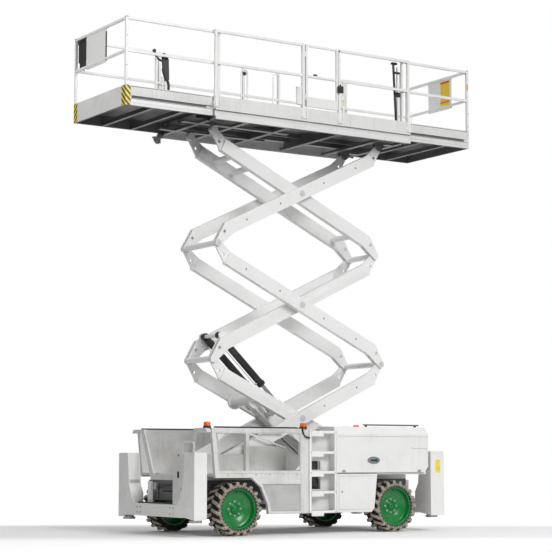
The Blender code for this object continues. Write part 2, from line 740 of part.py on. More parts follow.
def make_cover(side, word):
    """A hinged hood: outer side, sloped shoulder and top, hinged along its inner edge."""
    x_low, x_high = BAY_X[0] - 0.01, BAY_X[1] + 0.002
    points = [
        (HINGE_Y + 0.012, COVER_TOP[1]),
        (1.04, COVER_TOP[1]),
        (COVER_Y[1], 1.49),
        (COVER_Y[1], BAY_FLOOR_Z[1] + 0.002),
        (COVER_Y[0], BAY_FLOOR_Z[1] + 0.002),
        (COVER_Y[0], 1.478),
        (1.03, COVER_TOP[0]),
        (HINGE_Y + 0.012, COVER_TOP[0]),
    ]
    if side < 0:
        points = [(-y, z) for y, z in reversed(points)]
    body = outline(points, x_low, x_high, "YZ")
    hinge_y = side * HINGE_Y
    join(body, rod((x_low + 0.1, hinge_y, HINGE_Z), (x_high - 0.1, hinge_y, HINGE_Z), HINGE_RADIUS))
    for x in ((x_low, x_low + 0.02), (x_high - 0.02, x_high)):
        cheek = wrap(
            [
                (side * 0.66, COVER_TOP[0] + 0.01),
                (side * 1.035, COVER_TOP[0] + 0.01),
                (side * (COVER_Y[0] + 0.01), 1.49),
                (side * (COVER_Y[0] + 0.01), BAY_WALL_TOP_Z + MOVE),
                (side * 0.66, BAY_WALL_TOP_Z + MOVE),
            ],
            *x,
            "YZ",
        )
        join(body, cheek)
    corner = wrap(
        [
            (x_low - 0.05, 0.85),
            (x_low + 0.11, 0.85),
            (x_low - 0.05, 1.06),
        ],
        *sorted((side * 1.0, side * 1.2)),
    )
    cut(body, corner)
    finish(body, f"engine_cover_{word}", WHITE, False, (0.0, hinge_y, HINGE_Z))


def make_beacon(name, x, y, base_z, post=0.0):
    """A lamp on a round foot, which may stand on a post of its own."""
    foot_z = base_z + post
    base = rod((x, y, foot_z), (x, y, foot_z + 0.03), 0.06, 20)
    join(base, rod((x, y, foot_z + 0.025), (x, y, foot_z + 0.09), 0.053, 20, 0.047))
    if post:
        join(base, rod((x, y, base_z), (x, y, foot_z + 0.01), 0.018, 12))
    finish(base, name, AMBER, True)


def make_beacons():
    make_beacon("beacon_front", 1.93, 1.04, CHASSIS_TOP_Z)
    make_beacon("beacon_middle", 0.29, 1.09, CHASSIS_TOP_Z + TOUCH)
    make_beacon("beacon_rear", REAR_LEG_X, -LEG_Y, REAR_LEG_TOP_Z + TOUCH, 0.36)


# ---------------------------------------------------------------- axles and wheels

KINGPIN_Y = 0.70
KNUCKLE_HALF = 0.065
EAR = 0.03


def make_axles():
    tube = 0.06
    for name, x in (("front_axle", AXLE_X), ("rear_axle", -AXLE_X)):
        reach = 0.62 if x > 0 else 0.735
        body = box((x - 0.075, -reach, AXLE_Z - tube), (x + 0.075, reach, AXLE_Z + tube))
        for side in (-1, 1):
            pad = (AXLE_Z + tube - 0.01, BEAM_BOTTOM_Z - TOUCH)
            join(body, side_box(side, (x - 0.09, x + 0.09), (0.45, 0.55), pad))
            if x > 0:
                join(body, *yoke(side, x))
            else:
                join(body, spindle(side, x, reach - 0.01))
        join(body, rod((x, 0.0, AXLE_Z), (x - math.copysign(0.22, x), 0.0, AXLE_Z + 0.01), 0.10, 16, 0.05))
        finish(body, name, DARK)


def yoke(side, x):
    """The forked end of the steering axle, round one kingpin."""
    back = side_box(side, (x - 0.06, x + 0.06), (0.60, 0.64), (AXLE_Z - 0.11, AXLE_Z + 0.11))
    ears = [
        side_box(side, (x - 0.055, x + 0.055), (0.63, KINGPIN_Y + 0.04), z)
        for z in (
            (AXLE_Z + KNUCKLE_HALF + TOUCH, AXLE_Z + KNUCKLE_HALF + EAR),
            (AXLE_Z - KNUCKLE_HALF - EAR, AXLE_Z - KNUCKLE_HALF - TOUCH),
        )
    ]
    return [back, *ears]


SPINDLE_RADIUS = 0.04
SPINDLE_END_Y = 0.985


def spindle(side, x, start):
    ends = (side * start, side * SPINDLE_END_Y)
    return rod((x, ends[0], AXLE_Z), (x, ends[1], AXLE_Z), SPINDLE_RADIUS)


def make_knuckle(side, word):
    body = rod(
        (AXLE_X, side * KINGPIN_Y, AXLE_Z - KNUCKLE_HALF),
        (AXLE_X, side * KINGPIN_Y, AXLE_Z + KNUCKLE_HALF),
        0.038,
    )
    join(body, rod((AXLE_X, side * 0.73, AXLE_Z), (AXLE_X, side * 0.775, AXLE_Z), 0.05))
    join(body, spindle(side, AXLE_X, 0.71))
    finish(body, f"steering_knuckle_{word}", DARK, False, (AXLE_X, side * KINGPIN_Y, AXLE_Z))


def make_wheel(side, x, word):
    """Tyre and dished rim, both turned about the spindle."""
    half = TYRE_WIDTH / 2
    middle = side * (TYRE_OUTER_Y - half)
    seat = RIM_RADIUS + TOUCH * 2
    tyre_profile = [
        (seat, half - 0.03),
        (seat + 0.02, half - 0.012),
        (TYRE_RADIUS - 0.05, half),
        (TYRE_RADIUS - 0.015, half - 0.02),
        (TYRE_RADIUS, half - 0.06),
        (TYRE_RADIUS, -half + 0.06),
        (TYRE_RADIUS - 0.015, -half + 0.02),
        (TYRE_RADIUS - 0.05, -half),
        (seat + 0.02, -half + 0.012),
        (seat, -half + 0.03),
    ]
    dish = 0.10
    wall = 0.012
    bore = SPINDLE_RADIUS + RUN
    rim_profile = [
        (RIM_RADIUS, half - 0.032),
        (RIM_RADIUS, -half + 0.032),
        (RIM_RADIUS - wall, -half + 0.032),
        (RIM_RADIUS - wall - 0.005, half - dish - 0.03),
        (0.135, half - dish - 0.035),
        (0.125, -0.035),
        (bore, -0.035),
        (bore, 0.055),
        (0.060, 0.055),
        (0.075, 0.035),
        (0.125, 0.035),
        (0.150, half - dish - 0.015),
        (RIM_RADIUS - wall - 0.03, half - dish - 0.005),
        (RIM_RADIUS - wall, half - 0.032),
    ]
    turn = Matrix.Rotation(math.radians(-90 * side), 4, "X")
    hub = Vector((x, middle, AXLE_Z))
    for name, profile, kind in (("tyre", tyre_profile, RUBBER), ("rim", rim_profile, GREEN)):
        body = turned(profile, WHEEL_SIDES)
        shape = bmesh.new()
        shape.from_mesh(body.data)
        bmesh.ops.recalc_face_normals(shape, faces=shape.faces)
        shape.to_mesh(body.data)
        shape.free()
        move(body, Matrix.Translation(hub) @ turn)
        finish(body, f"{name}_{word}", kind, True, hub)


# ---------------------------------------------------------------- outriggers

FRONT_END_X = 2.20
REAR_END_X = -2.34
FRONT_LEG_X = 2.09
REAR_LEG_X = -2.20
REAR_LEG_TOP_Z = 1.225
LEG_Y = 1.00
LEG_HALF_X = 0.05
LEG_HALF_Y = 0.06
PAD_Z = 0.20


def make_outrigger_frame(name, x_low, x_high, top_z, seat_x, leg_x):
    """Two leg housings with flared feet, on one cross beam bolted to the frame's end."""
    centre = box((x_low, -0.80, 0.27), (x_high, 0.80, 0.45))
    for side in (-1, 1):
        shell = wrap(
            [
                (side * HALF_WIDTH, top_z),
                (side * 0.86, top_z),
                (side * 0.82, 0.72),
                (side * HALF_WIDTH, 0.72),
            ],
            x_low,
            x_high,
            "YZ",
        )
        foot = wrap(
            [
                (side * HALF_WIDTH, 0.73),
                (side * 0.8206, 0.73),
                (side * 0.74, 0.60),
                (side * 0.74, 0.29),
                (side * HALF_WIDTH, 0.24),
            ],
            x_low,
            x_high,
            "YZ",
        )
        join(centre, join(shell, foot))
    for side in (-1, 1):
        join(centre, side_box(side, seat_x, (0.45, 0.55), (0.40, 0.78)))
    for side in (-1, 1):
        cavity = box(
            (leg_x - LEG_HALF_X - SLIDE, side * LEG_Y - LEG_HALF_Y - SLIDE, 0.10),
            (leg_x + LEG_HALF_X + SLIDE, side * LEG_Y + LEG_HALF_Y + SLIDE, top_z - 0.03),
        )
        cut(centre, cavity)
    finish(centre, name, WHITE)


def make_leg(name, x, side):
    body = box(
        (x - LEG_HALF_X, side * LEG_Y - LEG_HALF_Y, PAD_Z + 0.03),
        (x + LEG_HALF_X, side * LEG_Y + LEG_HALF_Y, 1.12),
    )
    join(body, rod((x, side * LEG_Y, PAD_Z), (x, side * LEG_Y, PAD_Z + 0.035), 0.095, 24))
    finish(body, name, DARK, False, (x, side * LEG_Y, PAD_Z))


def make_outriggers():
    front = FRAME_FRONT_X + TOUCH
    make_outrigger_frame("front_outrigger_frame", 1.99, FRONT_END_X, 1.20, (front, 2.02), FRONT_LEG_X)
    make_outrigger_frame("rear_outrigger_frame", REAR_END_X, -2.08, REAR_LEG_TOP_Z, (-2.10, FRAME_REAR_X - TOUCH), REAR_LEG_X)
    for word, side in (("left", 1), ("right", -1)):
        make_leg(f"outrigger_leg_front_{word}", FRONT_LEG_X, side)
        make_leg(f"outrigger_leg_rear_{word}", REAR_LEG_X, side)


def make_front_cabinet():
    """The control cabinet that stands on the front cross beam."""
    body = box((2.02 + TOUCH, 0.50, 0.45 + TOUCH), (FRONT_END_X - 0.012, 0.735, 1.20))
    finish(body, "front_cabinet", WHITE)


# ---------------------------------------------------------------- platform

RAIL_TUBE = 0.04
POST_Y = 0.872
EXTENSION_POST_Y = 0.812
FRAME_LOW_Z = TOP_PIN_Z + 0.045
TRACK_LOW_Z = TOP_PIN_Z + ROLLER_RADIUS + TOUCH
TRACK_TOP_Z = TOP_PIN_Z + 0.09
CHANNEL_LOW_Z = TOP_PIN_Z + 0.10
TRACK_END_X = 1.98
BEAM_Y = (0.79, 0.83)
FLOOR_HALF_WIDTH = BEAM_Y[0] - 0.01
EXTENSION_LOW_Z = CHANNEL_LOW_Z + SLIDE
EXTENSION_FLOOR_Z = (FLOOR_Z + 0.008, FLOOR_Z + 0.026)
EXTENSION_LAP = 0.24
RIB_TOP_Z = EXTENSION_LOW_Z + 0.06
WEB_X = (-0.60, 0.35)
PANEL = 0.03
TOE_LOW_Z = TOP_PIN_Z + 0.185
GROOVE_LOW_Z = TOE_LOW_Z + 0.02
TOP_Z = FLOOR_Z + RAIL_HEIGHT
MID_Z = FLOOR_Z + MID_RAIL_HEIGHT
TOE_Z = FLOOR_Z + TOE_HEIGHT


def make_main_deck():
    """Floor, the side channels that guide the extensions, cross members, tracks and pivot lugs."""
    floor_x = (DECK_REAR_X + PANEL + MOVE, DECK_FRONT_X - PANEL - MOVE)
    body = box((floor_x[0], -FLOOR_HALF_WIDTH, FLOOR_Z - 0.03), (floor_x[1], FLOOR_HALF_WIDTH, FLOOR_Z))
    for x in (DECK_REAR_X + 0.04, BASE_PIN_X + 0.16, *WEB_X, 1.10, DECK_FRONT_X - 0.04):
        join(body, box((x - 0.04, -0.89, TRACK_LOW_Z), (x + 0.04, 0.89, CHANNEL_LOW_Z)))
    for x in WEB_X:
        join(body, box((x - 0.02, -0.76, CHANNEL_LOW_Z - 0.01), (x + 0.02, 0.76, FLOOR_Z - 0.02)))
    for y in (0.27, 0.62):
        for side in (-1, 1):
            join(body, side_box(side, floor_x, (y - 0.02, y + 0.02), (RIB_TOP_Z + MOVE, FLOOR_Z - 0.02)))
    span = (DECK_REAR_X, DECK_FRONT_X)
    outer = (DECK_HALF_WIDTH - 0.015, DECK_HALF_WIDTH)
    inner = (BEAM_Y[1] + 0.015, BEAM_Y[1] + 0.04)
    for side in (-1, 1):
        join(body, side_box(side, span, outer, (TOE_LOW_Z, TOE_Z - 0.005)))
        join(body, side_box(side, span, inner, (CHANNEL_LOW_Z - 0.02, TOE_LOW_Z + 0.02)))
        join(body, side_box(side, span, (inner[1] - 0.01, outer[0] + 0.001), (TOE_LOW_Z - 0.005, TOE_LOW_Z + 0.02)))
        join(body, side_box(side, span, (inner[0], outer[1]), (FRAME_LOW_Z, CHANNEL_LOW_Z - 0.005)))
    for side in (-1, 1):
        track = (TRACK_LOW_Z, TRACK_TOP_Z)
        join(body, side_box(side, (0.08, TRACK_END_X), (INNER_ARM_Y - 0.05, INNER_ARM_Y + 0.05), track))
        tail = (DECK_REAR_X + 0.05, BASE_PIN_X + 0.15)
        join(body, side_box(side, tail, (OUTER_ARM_Y - 0.06, OUTER_ARM_Y + 0.06), track))
        for low in (OUTER_ARM_Y - ARM_HALF, OUTER_ARM_Y + ARM_HALF - FORK_PLATE):
            points = circle(BASE_PIN_X, TOP_PIN_Z, BOSS_RADIUS) + [
                (BASE_PIN_X - 0.10, track[1] - 0.01),
                (BASE_PIN_X + 0.10, track[1] - 0.01),
            ]
            join(body, wrap(points, *sorted((side * low, side * (low + FORK_PLATE)))))
        pin = (OUTER_ARM_Y - ARM_HALF + 0.001, OUTER_ARM_Y + ARM_HALF - 0.001)
        join(body, rod((BASE_PIN_X, side * pin[0], TOP_PIN_Z), (BASE_PIN_X, side * pin[1], TOP_PIN_Z), PIN_RADIUS))
    finish(body, "main_deck", WHITE)


def rail_frame(y, x_low, x_high, posts, base_z, tube=RAIL_TUBE):
    """A guard rail along X: top and middle rails between posts."""
    half = tube / 2
    body = box((x_low, y - half, TOP_Z - tube), (x_high, y + half, TOP_Z))
    join(body, box((x_low, y - half * 0.8, MID_Z - half), (x_high, y + half * 0.8, MID_Z + half)))
    for x in posts:
        join(body, box((x - half, y - half, base_z), (x + half, y + half, TOP_Z - half)))
    return body


def make_main_rails():
    """The fixed guard rails of the main deck, standing on the side channels."""
    base = GROOVE_LOW_Z + TOUCH
    half = RAIL_TUBE / 2
    y = POST_Y - 0.008
    left_front = rail_frame(y, GATE_FRONT_X, DECK_FRONT_X, (GATE_FRONT_X + half, DECK_FRONT_X - half), base)
    finish(left_front, "rail_left_front", WHITE)
    left_rear = rail_frame(y, DECK_REAR_X, GATE_REAR_X, (DECK_REAR_X + half, GATE_REAR_X - half), base)
    finish(left_rear, "rail_left_rear", WHITE)
    posts = (DECK_REAR_X + half, GATE_REAR_X - half, GATE_FRONT_X + half, DECK_FRONT_X - half)
    right = rail_frame(-y, DECK_REAR_X, DECK_FRONT_X, posts, base)
    finish(right, "rail_right", WHITE)


def make_gate():
    """The entry gate, hung on the front post and closing against the rear one."""
    y = POST_Y - 0.008
    hinge_x = GATE_FRONT_X - 0.018
    gap = 0.006
    low, high = GATE_REAR_X + gap, hinge_x - 0.01
    half = 0.016
    bottom_z = TOE_Z + 0.03
    body = box((low, y - half, TOP_Z - 0.036), (high, y + half, TOP_Z - 0.004))
    join(body, box((low, y - half, MID_Z - half), (high, y + half, MID_Z + half)))
    join(body, box((low, y - half, bottom_z), (high, y + half, bottom_z + 0.15)))
    for x in (low, high - 2 * half):
        join(body, box((x, y - half, bottom_z), (x + 2 * half, y + half, TOP_Z - 0.02)))
    for z in (bottom_z + 0.10, TOP_Z - 0.20):
        knuckle = rod((hinge_x, y, z), (hinge_x, y, z + 0.08), 0.0175, 16)
        join(body, knuckle)
    finish(body, "entry_gate", WHITE, False, (hinge_x, y, bottom_z))


def make_extension(name, face, end_x, reach):
    """A roll-out deck: floor, two grooved side beams, low cross ribs and an end panel."""
    inner_x = end_x - face * (reach + EXTENSION_LAP)
    deck_edge = DECK_FRONT_X if face > 0 else DECK_REAR_X
    x = tuple(sorted((inner_x, end_x)))
    body = box((x[0], -0.80, EXTENSION_FLOOR_Z[0]), (x[1], 0.80, EXTENSION_FLOOR_Z[1]))
    groove_x = tuple(sorted((deck_edge + face * 0.02, end_x - face * 0.10)))
    for side in (-1, 1):
        join(body, side_box(side, x, BEAM_Y, (EXTENSION_LOW_Z, TOE_Z)))
        cut(body, side_box(side, groove_x, (BEAM_Y[1] - 0.018, BEAM_Y[1] + 0.03), (GROOVE_LOW_Z, FLOOR_Z - 0.02)))
    panel = tuple(sorted((end_x, end_x - face * PANEL)))
    join(body, box((panel[0], -BEAM_Y[1], EXTENSION_LOW_Z), (panel[1], BEAM_Y[1], TOE_Z)))
    for offset in (0.45, 0.95):
        rib = tuple(sorted((end_x - face * offset, end_x - face * (offset + 0.06))))
        join(body, box((rib[0], -0.80, EXTENSION_LOW_Z), (rib[1], 0.80, RIB_TOP_Z)))
    finish(body, name, WHITE, False, (deck_edge, 0.0, FLOOR_Z))


def make_extension_rails(name, face, end_x, reach):
    """Guard rails of a roll-out deck: two sides and the end."""
    base = TOE_Z + TOUCH
    half = 0.019
    y = EXTENSION_POST_Y
    inner = end_x - face * (reach + 0.12)
    outer = end_x - face * half
    x = tuple(sorted((inner, end_x)))
    posts = (outer, inner + face * half)
    body = rail_frame(y, *x, posts, base, 2 * half)
    right = rail_frame(-y, *x, posts, base, 2 * half)
    end_posts = tuple(sorted((end_x, end_x - face * 2 * half)))
    top = box((end_posts[0], -y, TOP_Z - 2 * half), (end_posts[1], y, TOP_Z))
    join(body, top, right)
    join(body, box((end_posts[0] + 0.004, -y, MID_Z - half), (end_posts[1] - 0.004, y, MID_Z + half)))
    panel_y = (-0.46, 0.18) if face > 0 else (-0.20, 0.41)
    inside = tuple(sorted((end_x - face * 0.012, end_x - face * 0.026)))
    join(body, box((inside[0], panel_y[0], MID_Z - 0.05), (inside[1], panel_y[1], TOP_Z - 0.02)))
    finish(body, name, WHITE)


def make_console(end_x):
    """The platform control box, hung inside the front rail near its right corner."""
    back = end_x - 0.038 - TOUCH
    points = [
        (back, MID_Z + 0.12),
        (back, TOP_Z - 0.03),
        (back - 0.10, TOP_Z - 0.03),
        (back - 0.22, MID_Z + 0.24),
        (back - 0.22, MID_Z + 0.12),
    ]
    body = wrap(points, -0.78, -0.48)
    join(body, box((back - 0.03, -0.74, MID_Z + 0.019 + TOUCH), (back, -0.54, MID_Z + 0.14)))
    finish(body, "control_console", BLACK)


def build():
    clear_scene()
    make_arm_1_inner()
    make_arm_2_inner()
    make_arm_3_inner()
    make_outer_arms()
    make_upper_cylinders()
    make_lower_cylinder()
    make_main_frame()
    make_front_portal()
    make_ladder()
    make_side_cabinet()
    for side, word in ((1, "left"), (-1, "right")):
        make_side_frame(side, word)
        make_rear_bay(side, word)
        make_cover(side, word)
        make_knuckle(side, word)
        make_wheel(side, AXLE_X, f"front_{word}")
        make_wheel(side, -AXLE_X, f"rear_{word}")
    make_engine()
    make_beacons()
    make_axles()
    make_outriggers()
    make_front_cabinet()
    make_main_deck()
    make_main_rails()
    make_gate()
    front_end = DECK_FRONT_X + FRONT_REACH
    rear_end = DECK_REAR_X - REAR_REACH
    make_extension("front_extension", 1, front_end, FRONT_REACH)
    make_extension("rear_extension", -1, rear_end, REAR_REACH)
    make_extension_rails("front_extension_rails", 1, front_end, FRONT_REACH)
    make_extension_rails("rear_extension_rails", -1, rear_end, REAR_REACH)
    make_console(front_end)


build()
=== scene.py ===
# %% [markdown]
# # A rough-terrain scissor lift
# The steel frame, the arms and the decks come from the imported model, and they already have their true sizes
# and places. This script gives them their finishes and adds what a maker bolts on: tyres, wheels, the
# rails' fittings, pin keepers, hard pipes, labels, lamps, steps and controls.

import math

import bmesh
import bpy
from mathutils import Matrix, Vector


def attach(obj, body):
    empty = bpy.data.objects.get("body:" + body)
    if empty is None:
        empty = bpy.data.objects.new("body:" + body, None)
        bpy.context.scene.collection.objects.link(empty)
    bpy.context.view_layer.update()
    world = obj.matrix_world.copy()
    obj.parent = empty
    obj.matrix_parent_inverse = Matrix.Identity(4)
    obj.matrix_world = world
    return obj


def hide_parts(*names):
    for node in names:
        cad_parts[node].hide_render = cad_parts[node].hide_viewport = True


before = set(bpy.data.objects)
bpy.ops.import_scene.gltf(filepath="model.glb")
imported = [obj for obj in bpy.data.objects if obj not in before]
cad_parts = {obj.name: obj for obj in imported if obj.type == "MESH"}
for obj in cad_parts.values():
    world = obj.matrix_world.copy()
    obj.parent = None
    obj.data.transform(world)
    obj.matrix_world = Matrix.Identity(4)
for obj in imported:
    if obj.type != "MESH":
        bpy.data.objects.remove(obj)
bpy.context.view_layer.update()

# %% [markdown]
# ## Camera
# A scissor lift is tall, so it is best seen from far off with a long lens: the uprights stay nearly
# upright. The camera stands at chest height, off the front left corner, and looks up by six degrees.

# %% Camera
EYE = Vector((14.34, 21.84, 1.14))
LOOK = Vector((-0.544, -0.8321, 0.1077))

lens = bpy.data.cameras.new("camera")
lens.sensor_width = 36.0
lens.lens = 109.0
lens.clip_end = 200.0
camera = bpy.data.objects.new("camera", lens)
camera.location = EYE
camera.rotation_euler = LOOK.to_track_quat("-Z", "Y").to_euler()
bpy.context.scene.collection.objects.link(camera)
bpy.context.scene.camera = camera

# %% [markdown]
# ## Shader maths in plain Python
# A finish is a small sum: base colour, plus dirt where a noise is high, minus gloss where it is worn.
# Writing it with boxes and wires is slow to read, so a socket is wrapped in a class whose operators add
# Math nodes.


# %% Socket and node helpers
class Socket:
    """One output of a node, with arithmetic."""

    def __init__(self, tree, link):
        self.tree = tree
        self.link = link

    def _math(self, operation, *values):
        return add_node(self.tree, "ShaderNodeMath", {"operation": operation}, dict(enumerate(values)))

    def __add__(self, other):
        return self._math("ADD", self, other)

    def __radd__(self, other):
        return self._math("ADD", other, self)

    def __sub__(self, other):
        return self._math("SUBTRACT", self, other)

    def __rsub__(self, other):
        return self._math("SUBTRACT", other, self)

    def __mul__(self, other):
        return self._math("MULTIPLY", self, other)

    def __rmul__(self, other):
        return self._math("MULTIPLY", other, self)

    def over(self, limit):
        return self._math("GREATER_THAN", self, limit)

    def under(self, limit):
        return self._math("LESS_THAN", self, limit)

    def part(self):
        return self._math("FRACT", self)

    def size(self):
        return self._math("ABSOLUTE", self)

    def most(self, other):
        return self._math("MAXIMUM", self, other)

    def between(self, low, high):
        """0 at low, 1 at high, smooth and held outside."""
        settings = {"interpolation_type": "SMOOTHSTEP"}
        return add_node(
            self.tree, "ShaderNodeMapRange", settings, {"Value": self, "From Min": low, "From Max": high},
        )


def add_node(tree, kind, settings=None, values=None, out=0):
    """Adds a node: its settings first, then the values or links of its sockets."""
    node = tree.nodes.new(kind)
    for name, value in (settings or {}).items():
        setattr(node, name, value)
    for name, value in (values or {}).items():
        if isinstance(value, Socket):
            tree.links.new(value.link, node.inputs[name])
        else:
            node.inputs[name].default_value = value
    return Socket(tree, node.outputs[out])


# %% [markdown]
# ## Light and floor
# A big machine stands on a pale yard under a thin cloud. The sky is soft and a little stronger overhead,
# the ground side is dim so that the decks' undersides stay dark, and one bright patch of sky stands behind
# the machine. A large soft lamp high on the left side picks out the machine's long side and leaves its nose
# in soft grey. Two weak ones lift the yard in front and the raised platform's end.

# %% Light and floor
bpy.context.scene.view_settings.view_transform = "Standard"
world = bpy.data.worlds.new("sky")
world.use_nodes = True
sky = world.node_tree
backdrop = sky.nodes["Background"]
backdrop.inputs["Color"].default_value = (1.0, 1.0, 1.0, 1.0)
aim = add_node(sky, "ShaderNodeTexCoord")
parts = add_node(sky, "ShaderNodeSeparateXYZ", None, {0: aim}).link.node.outputs


def ramp(value, start, end, low, high):
    """A straight ramp from low to high while the value goes from start to end."""
    limits = {"From Min": start, "From Max": end, "To Min": low, "To Max": high}
    return add_node(sky, "ShaderNodeMapRange", None, {"Value": value, **limits})


overhead = ramp(Socket(sky, parts[2]), -0.25, 0.9, 0.1, 0.8)
ahead = ramp(Socket(sky, parts[0]), -0.1, 0.7, 1.0, 0.74)
flat_look = Vector((LOOK.x, LOOK.y, 0.0)).normalized()
toward = add_node(
    sky, "ShaderNodeVectorMath", {"operation": "DOT_PRODUCT"}, {0: aim, 1: flat_look}, "Value",
)
brightness = (overhead * ahead).most(ramp(toward, 0.86, 0.93, 0.0, 1.0))
sky.links.new(brightness.link, backdrop.inputs["Strength"])
bpy.context.scene.world = world


def soft_light(name, place, target, size, power):
    """A round lamp at a place, turned to its target."""
    lamp = bpy.data.lights.new(name, "AREA")
    lamp.shape = "DISK"
    lamp.size = size
    lamp.energy = power
    stand = bpy.data.objects.new(name, lamp)
    stand.location = place
    stand.rotation_euler = (Vector(target) - Vector(place)).to_track_quat("-Z", "Y").to_euler()
    bpy.context.scene.collection.objects.link(stand)
    return stand


soft_light("key", (-2.5, 17.0, 13.0), (0.0, 0.0, 3.2), 8.0, 1650.0)
soft_light("yard_fill", (2.0, 14.0, 8.0), (1.0, 4.0, 0.0), 6.0, 260.0)
soft_light("platform_fill", (15.0, 2.0, 9.0), (3.0, 0.0, 6.8), 3.0, 46.0)
bpy.data.lights["platform_fill"].spread = math.radians(42.0)


def deselect():
    """Leaves object mode on and nothing selected."""
    if bpy.context.object and bpy.context.object.mode != "OBJECT":
        bpy.ops.object.mode_set(mode="OBJECT")
    bpy.ops.object.select_all(action="DESELECT")


def pick_only(piece):
    """Leaves one object selected and active."""
    deselect()
    piece.select_set(True)
    bpy.context.view_layer.objects.active = piece
    return piece


bpy.ops.object.select_all(action="DESELECT")
bpy.ops.mesh.primitive_plane_add(size=12.0, location=(0.0, 0.0, 0.0))
floor = bpy.context.object
floor.name = "studio_floor"
print("camera, three lights and a floor")

# %% [markdown]
# ## A finish and its parts
# Every finish starts the same way: a Principled shader, the piece's own coordinates, and a few noises. The
# helper class below holds the tree, so that each finish reads as a short recipe.


# %% Finish class
class Finish:
    """A material being mixed."""

    def __init__(self, name, metallic=0.0, coat=0.0, coat_roughness=0.1, specular=0.5):
        self.material = bpy.data.materials.new(name)
        self.material.use_nodes = True
        self.tree = self.material.node_tree
        self.shader = self.tree.nodes["Principled BSDF"]
        self.shader.inputs["Metallic"].default_value = metallic
        self.shader.inputs["Coat Weight"].default_value = coat
        self.shader.inputs["Coat Roughness"].default_value = coat_roughness
        self.shader.inputs["Specular IOR Level"].default_value = specular
        self.place = add_node(self.tree, "ShaderNodeTexCoord", out=3)

    def node(self, kind, settings=None, values=None, out=0):
        return add_node(self.tree, kind, settings, values, out)

    def axes(self, place=None):
        split = self.node("ShaderNodeSeparateXYZ", None, {0: place or self.place})
        outputs = split.link.node.outputs
        return [Socket(self.tree, outputs[i]) for i in range(3)]

    def stretched(self, scale):
        return self.node("ShaderNodeMapping", None, {"Vector": self.place, "Scale": scale})

    def noise(self, scale, detail=4.0, roughness=0.55, place=None):
        values = {"Vector": place or self.place, "Scale": scale, "Detail": detail, "Roughness": roughness}
        return self.node("ShaderNodeTexNoise", None, values)

    def cells(self, scale, feature="F1", place=None):
        values = {"Vector": place or self.place, "Scale": scale}
        return self.node("ShaderNodeTexVoronoi", {"feature": feature}, values)

    def mix(self, amount, first, second):
        """One colour over another by amount."""
        first = first if isinstance(first, Socket) else (*first, 1.0)
        second = second if isinstance(second, Socket) else (*second, 1.0)
        node = self.tree.nodes.new("ShaderNodeMix")
        node.data_type = "RGBA"
        for name, value in ((0, amount), (6, first), (7, second)):
            if isinstance(value, Socket):
                self.tree.links.new(value.link, node.inputs[name])
            else:
                node.inputs[name].default_value = value
        return Socket(self.tree, node.outputs[2])

    def bump(self, height, strength, distance=0.002):
        values = {"Height": height, "Strength": strength, "Distance": distance}
        return self.node("ShaderNodeBump", None, values)

    def set(self, **sockets):
        names = {
            "colour": "Base Color",
            "roughness": "Roughness",
            "metallic": "Metallic",
            "normal": "Normal",
            "coat": "Coat Weight",
            "glow": "Emission Color",
        }
        for key, value in sockets.items():
            target = self.shader.inputs[names[key]]
            if isinstance(value, Socket):
                self.tree.links.new(value.link, target)
            else:
                target.default_value = value if isinstance(value, float) else (*value, 1.0)
        return self.material


# %% [markdown]
# ## White enamel
# The machine is sprayed white and then lives outdoors. Rain leaves faint grey streaks down the sides, boots
# and tools leave scuffs, and dust settles in broad clouds. The paint stays nearly white, so each of these
# only takes a little away. A second, much darker version goes on the faces under the decks: its dark base
# is painted shade, with dust and scuffs over it.


# %% Paints
def white_paint(name, colour, dirt, streaks, scuffs, roughness):
    """Sprayed enamel with dust, rain streaks, scuffs and chips, each by its own amount."""
    made = Finish(name, coat=0.25, coat_roughness=0.25)
    clouds = made.noise(2.3, 5.0, 0.6).between(0.42, 0.75)
    fine = made.noise(38.0, 3.0, 0.6)
    runs = made.noise(1.0, 4.0, 0.6, made.stretched((26.0, 26.0, 1.6))).between(0.56, 0.78)
    rub = made.noise(1.0, 6.0, 0.7, made.stretched((9.0, 9.0, 30.0))).between(0.62, 0.7)
    chips = made.cells(60.0).under(0.1) * made.noise(6.0).between(0.6, 0.68)
    grime = [value * 0.62 for value in colour]
    dust = [colour[0] * 0.74, colour[1] * 0.72, colour[2] * 0.69]
    shade = made.mix(clouds * dirt, colour, dust)
    shade = made.mix(runs * streaks, shade, grime)
    shade = made.mix(rub * scuffs, shade, [value * 0.55 for value in colour])
    shade = made.mix(chips * scuffs, shade, (0.16, 0.15, 0.14))
    rough = roughness + clouds * 0.18 + runs * 0.1 + rub * 0.15
    height = fine * 0.3 + made.noise(140.0, 2.0) * 0.2 - chips
    return made.set(colour=shade, roughness=rough, normal=made.bump(height, 0.12, 0.0015))


WHITE = (0.83, 0.83, 0.82)
enamel = white_paint("white_enamel", WHITE, 0.3, 0.25, 0.2, 0.32)
arm_enamel = white_paint("arm_enamel", (0.86, 0.86, 0.855), 0.22, 0.14, 0.15, 0.3)
worn_enamel = white_paint("worn_enamel", (0.7, 0.7, 0.69), 0.8, 0.65, 0.75, 0.42)
deck_enamel = white_paint("deck_enamel", (0.74, 0.74, 0.73), 0.45, 0.5, 0.3, 0.36)
# Painted shade: a dark copy of the enamel for the decks' undersides, with dust and scuffs on it.
underside_shade_paint = white_paint("underside_shade_paint", (0.15, 0.155, 0.155), 0.6, 0.4, 0.6, 0.5)
step_paint = white_paint("step_paint", (0.85, 0.85, 0.84), 0.45, 0.1, 0.6, 0.45)
# Painted shade: a greyer copy of the white enamel for the nose, whose front faces stand in soft shade.
nose_shade_enamel = white_paint("nose_shade_enamel", (0.68, 0.68, 0.675), 0.35, 0.25, 0.25, 0.4)
# Painted shade: a mid grey for thin strips that stand in for shade on the housings and deck edges.
painted_shade_grey = white_paint("painted_shade_grey", (0.5, 0.51, 0.52), 0.35, 0.25, 0.25, 0.4)


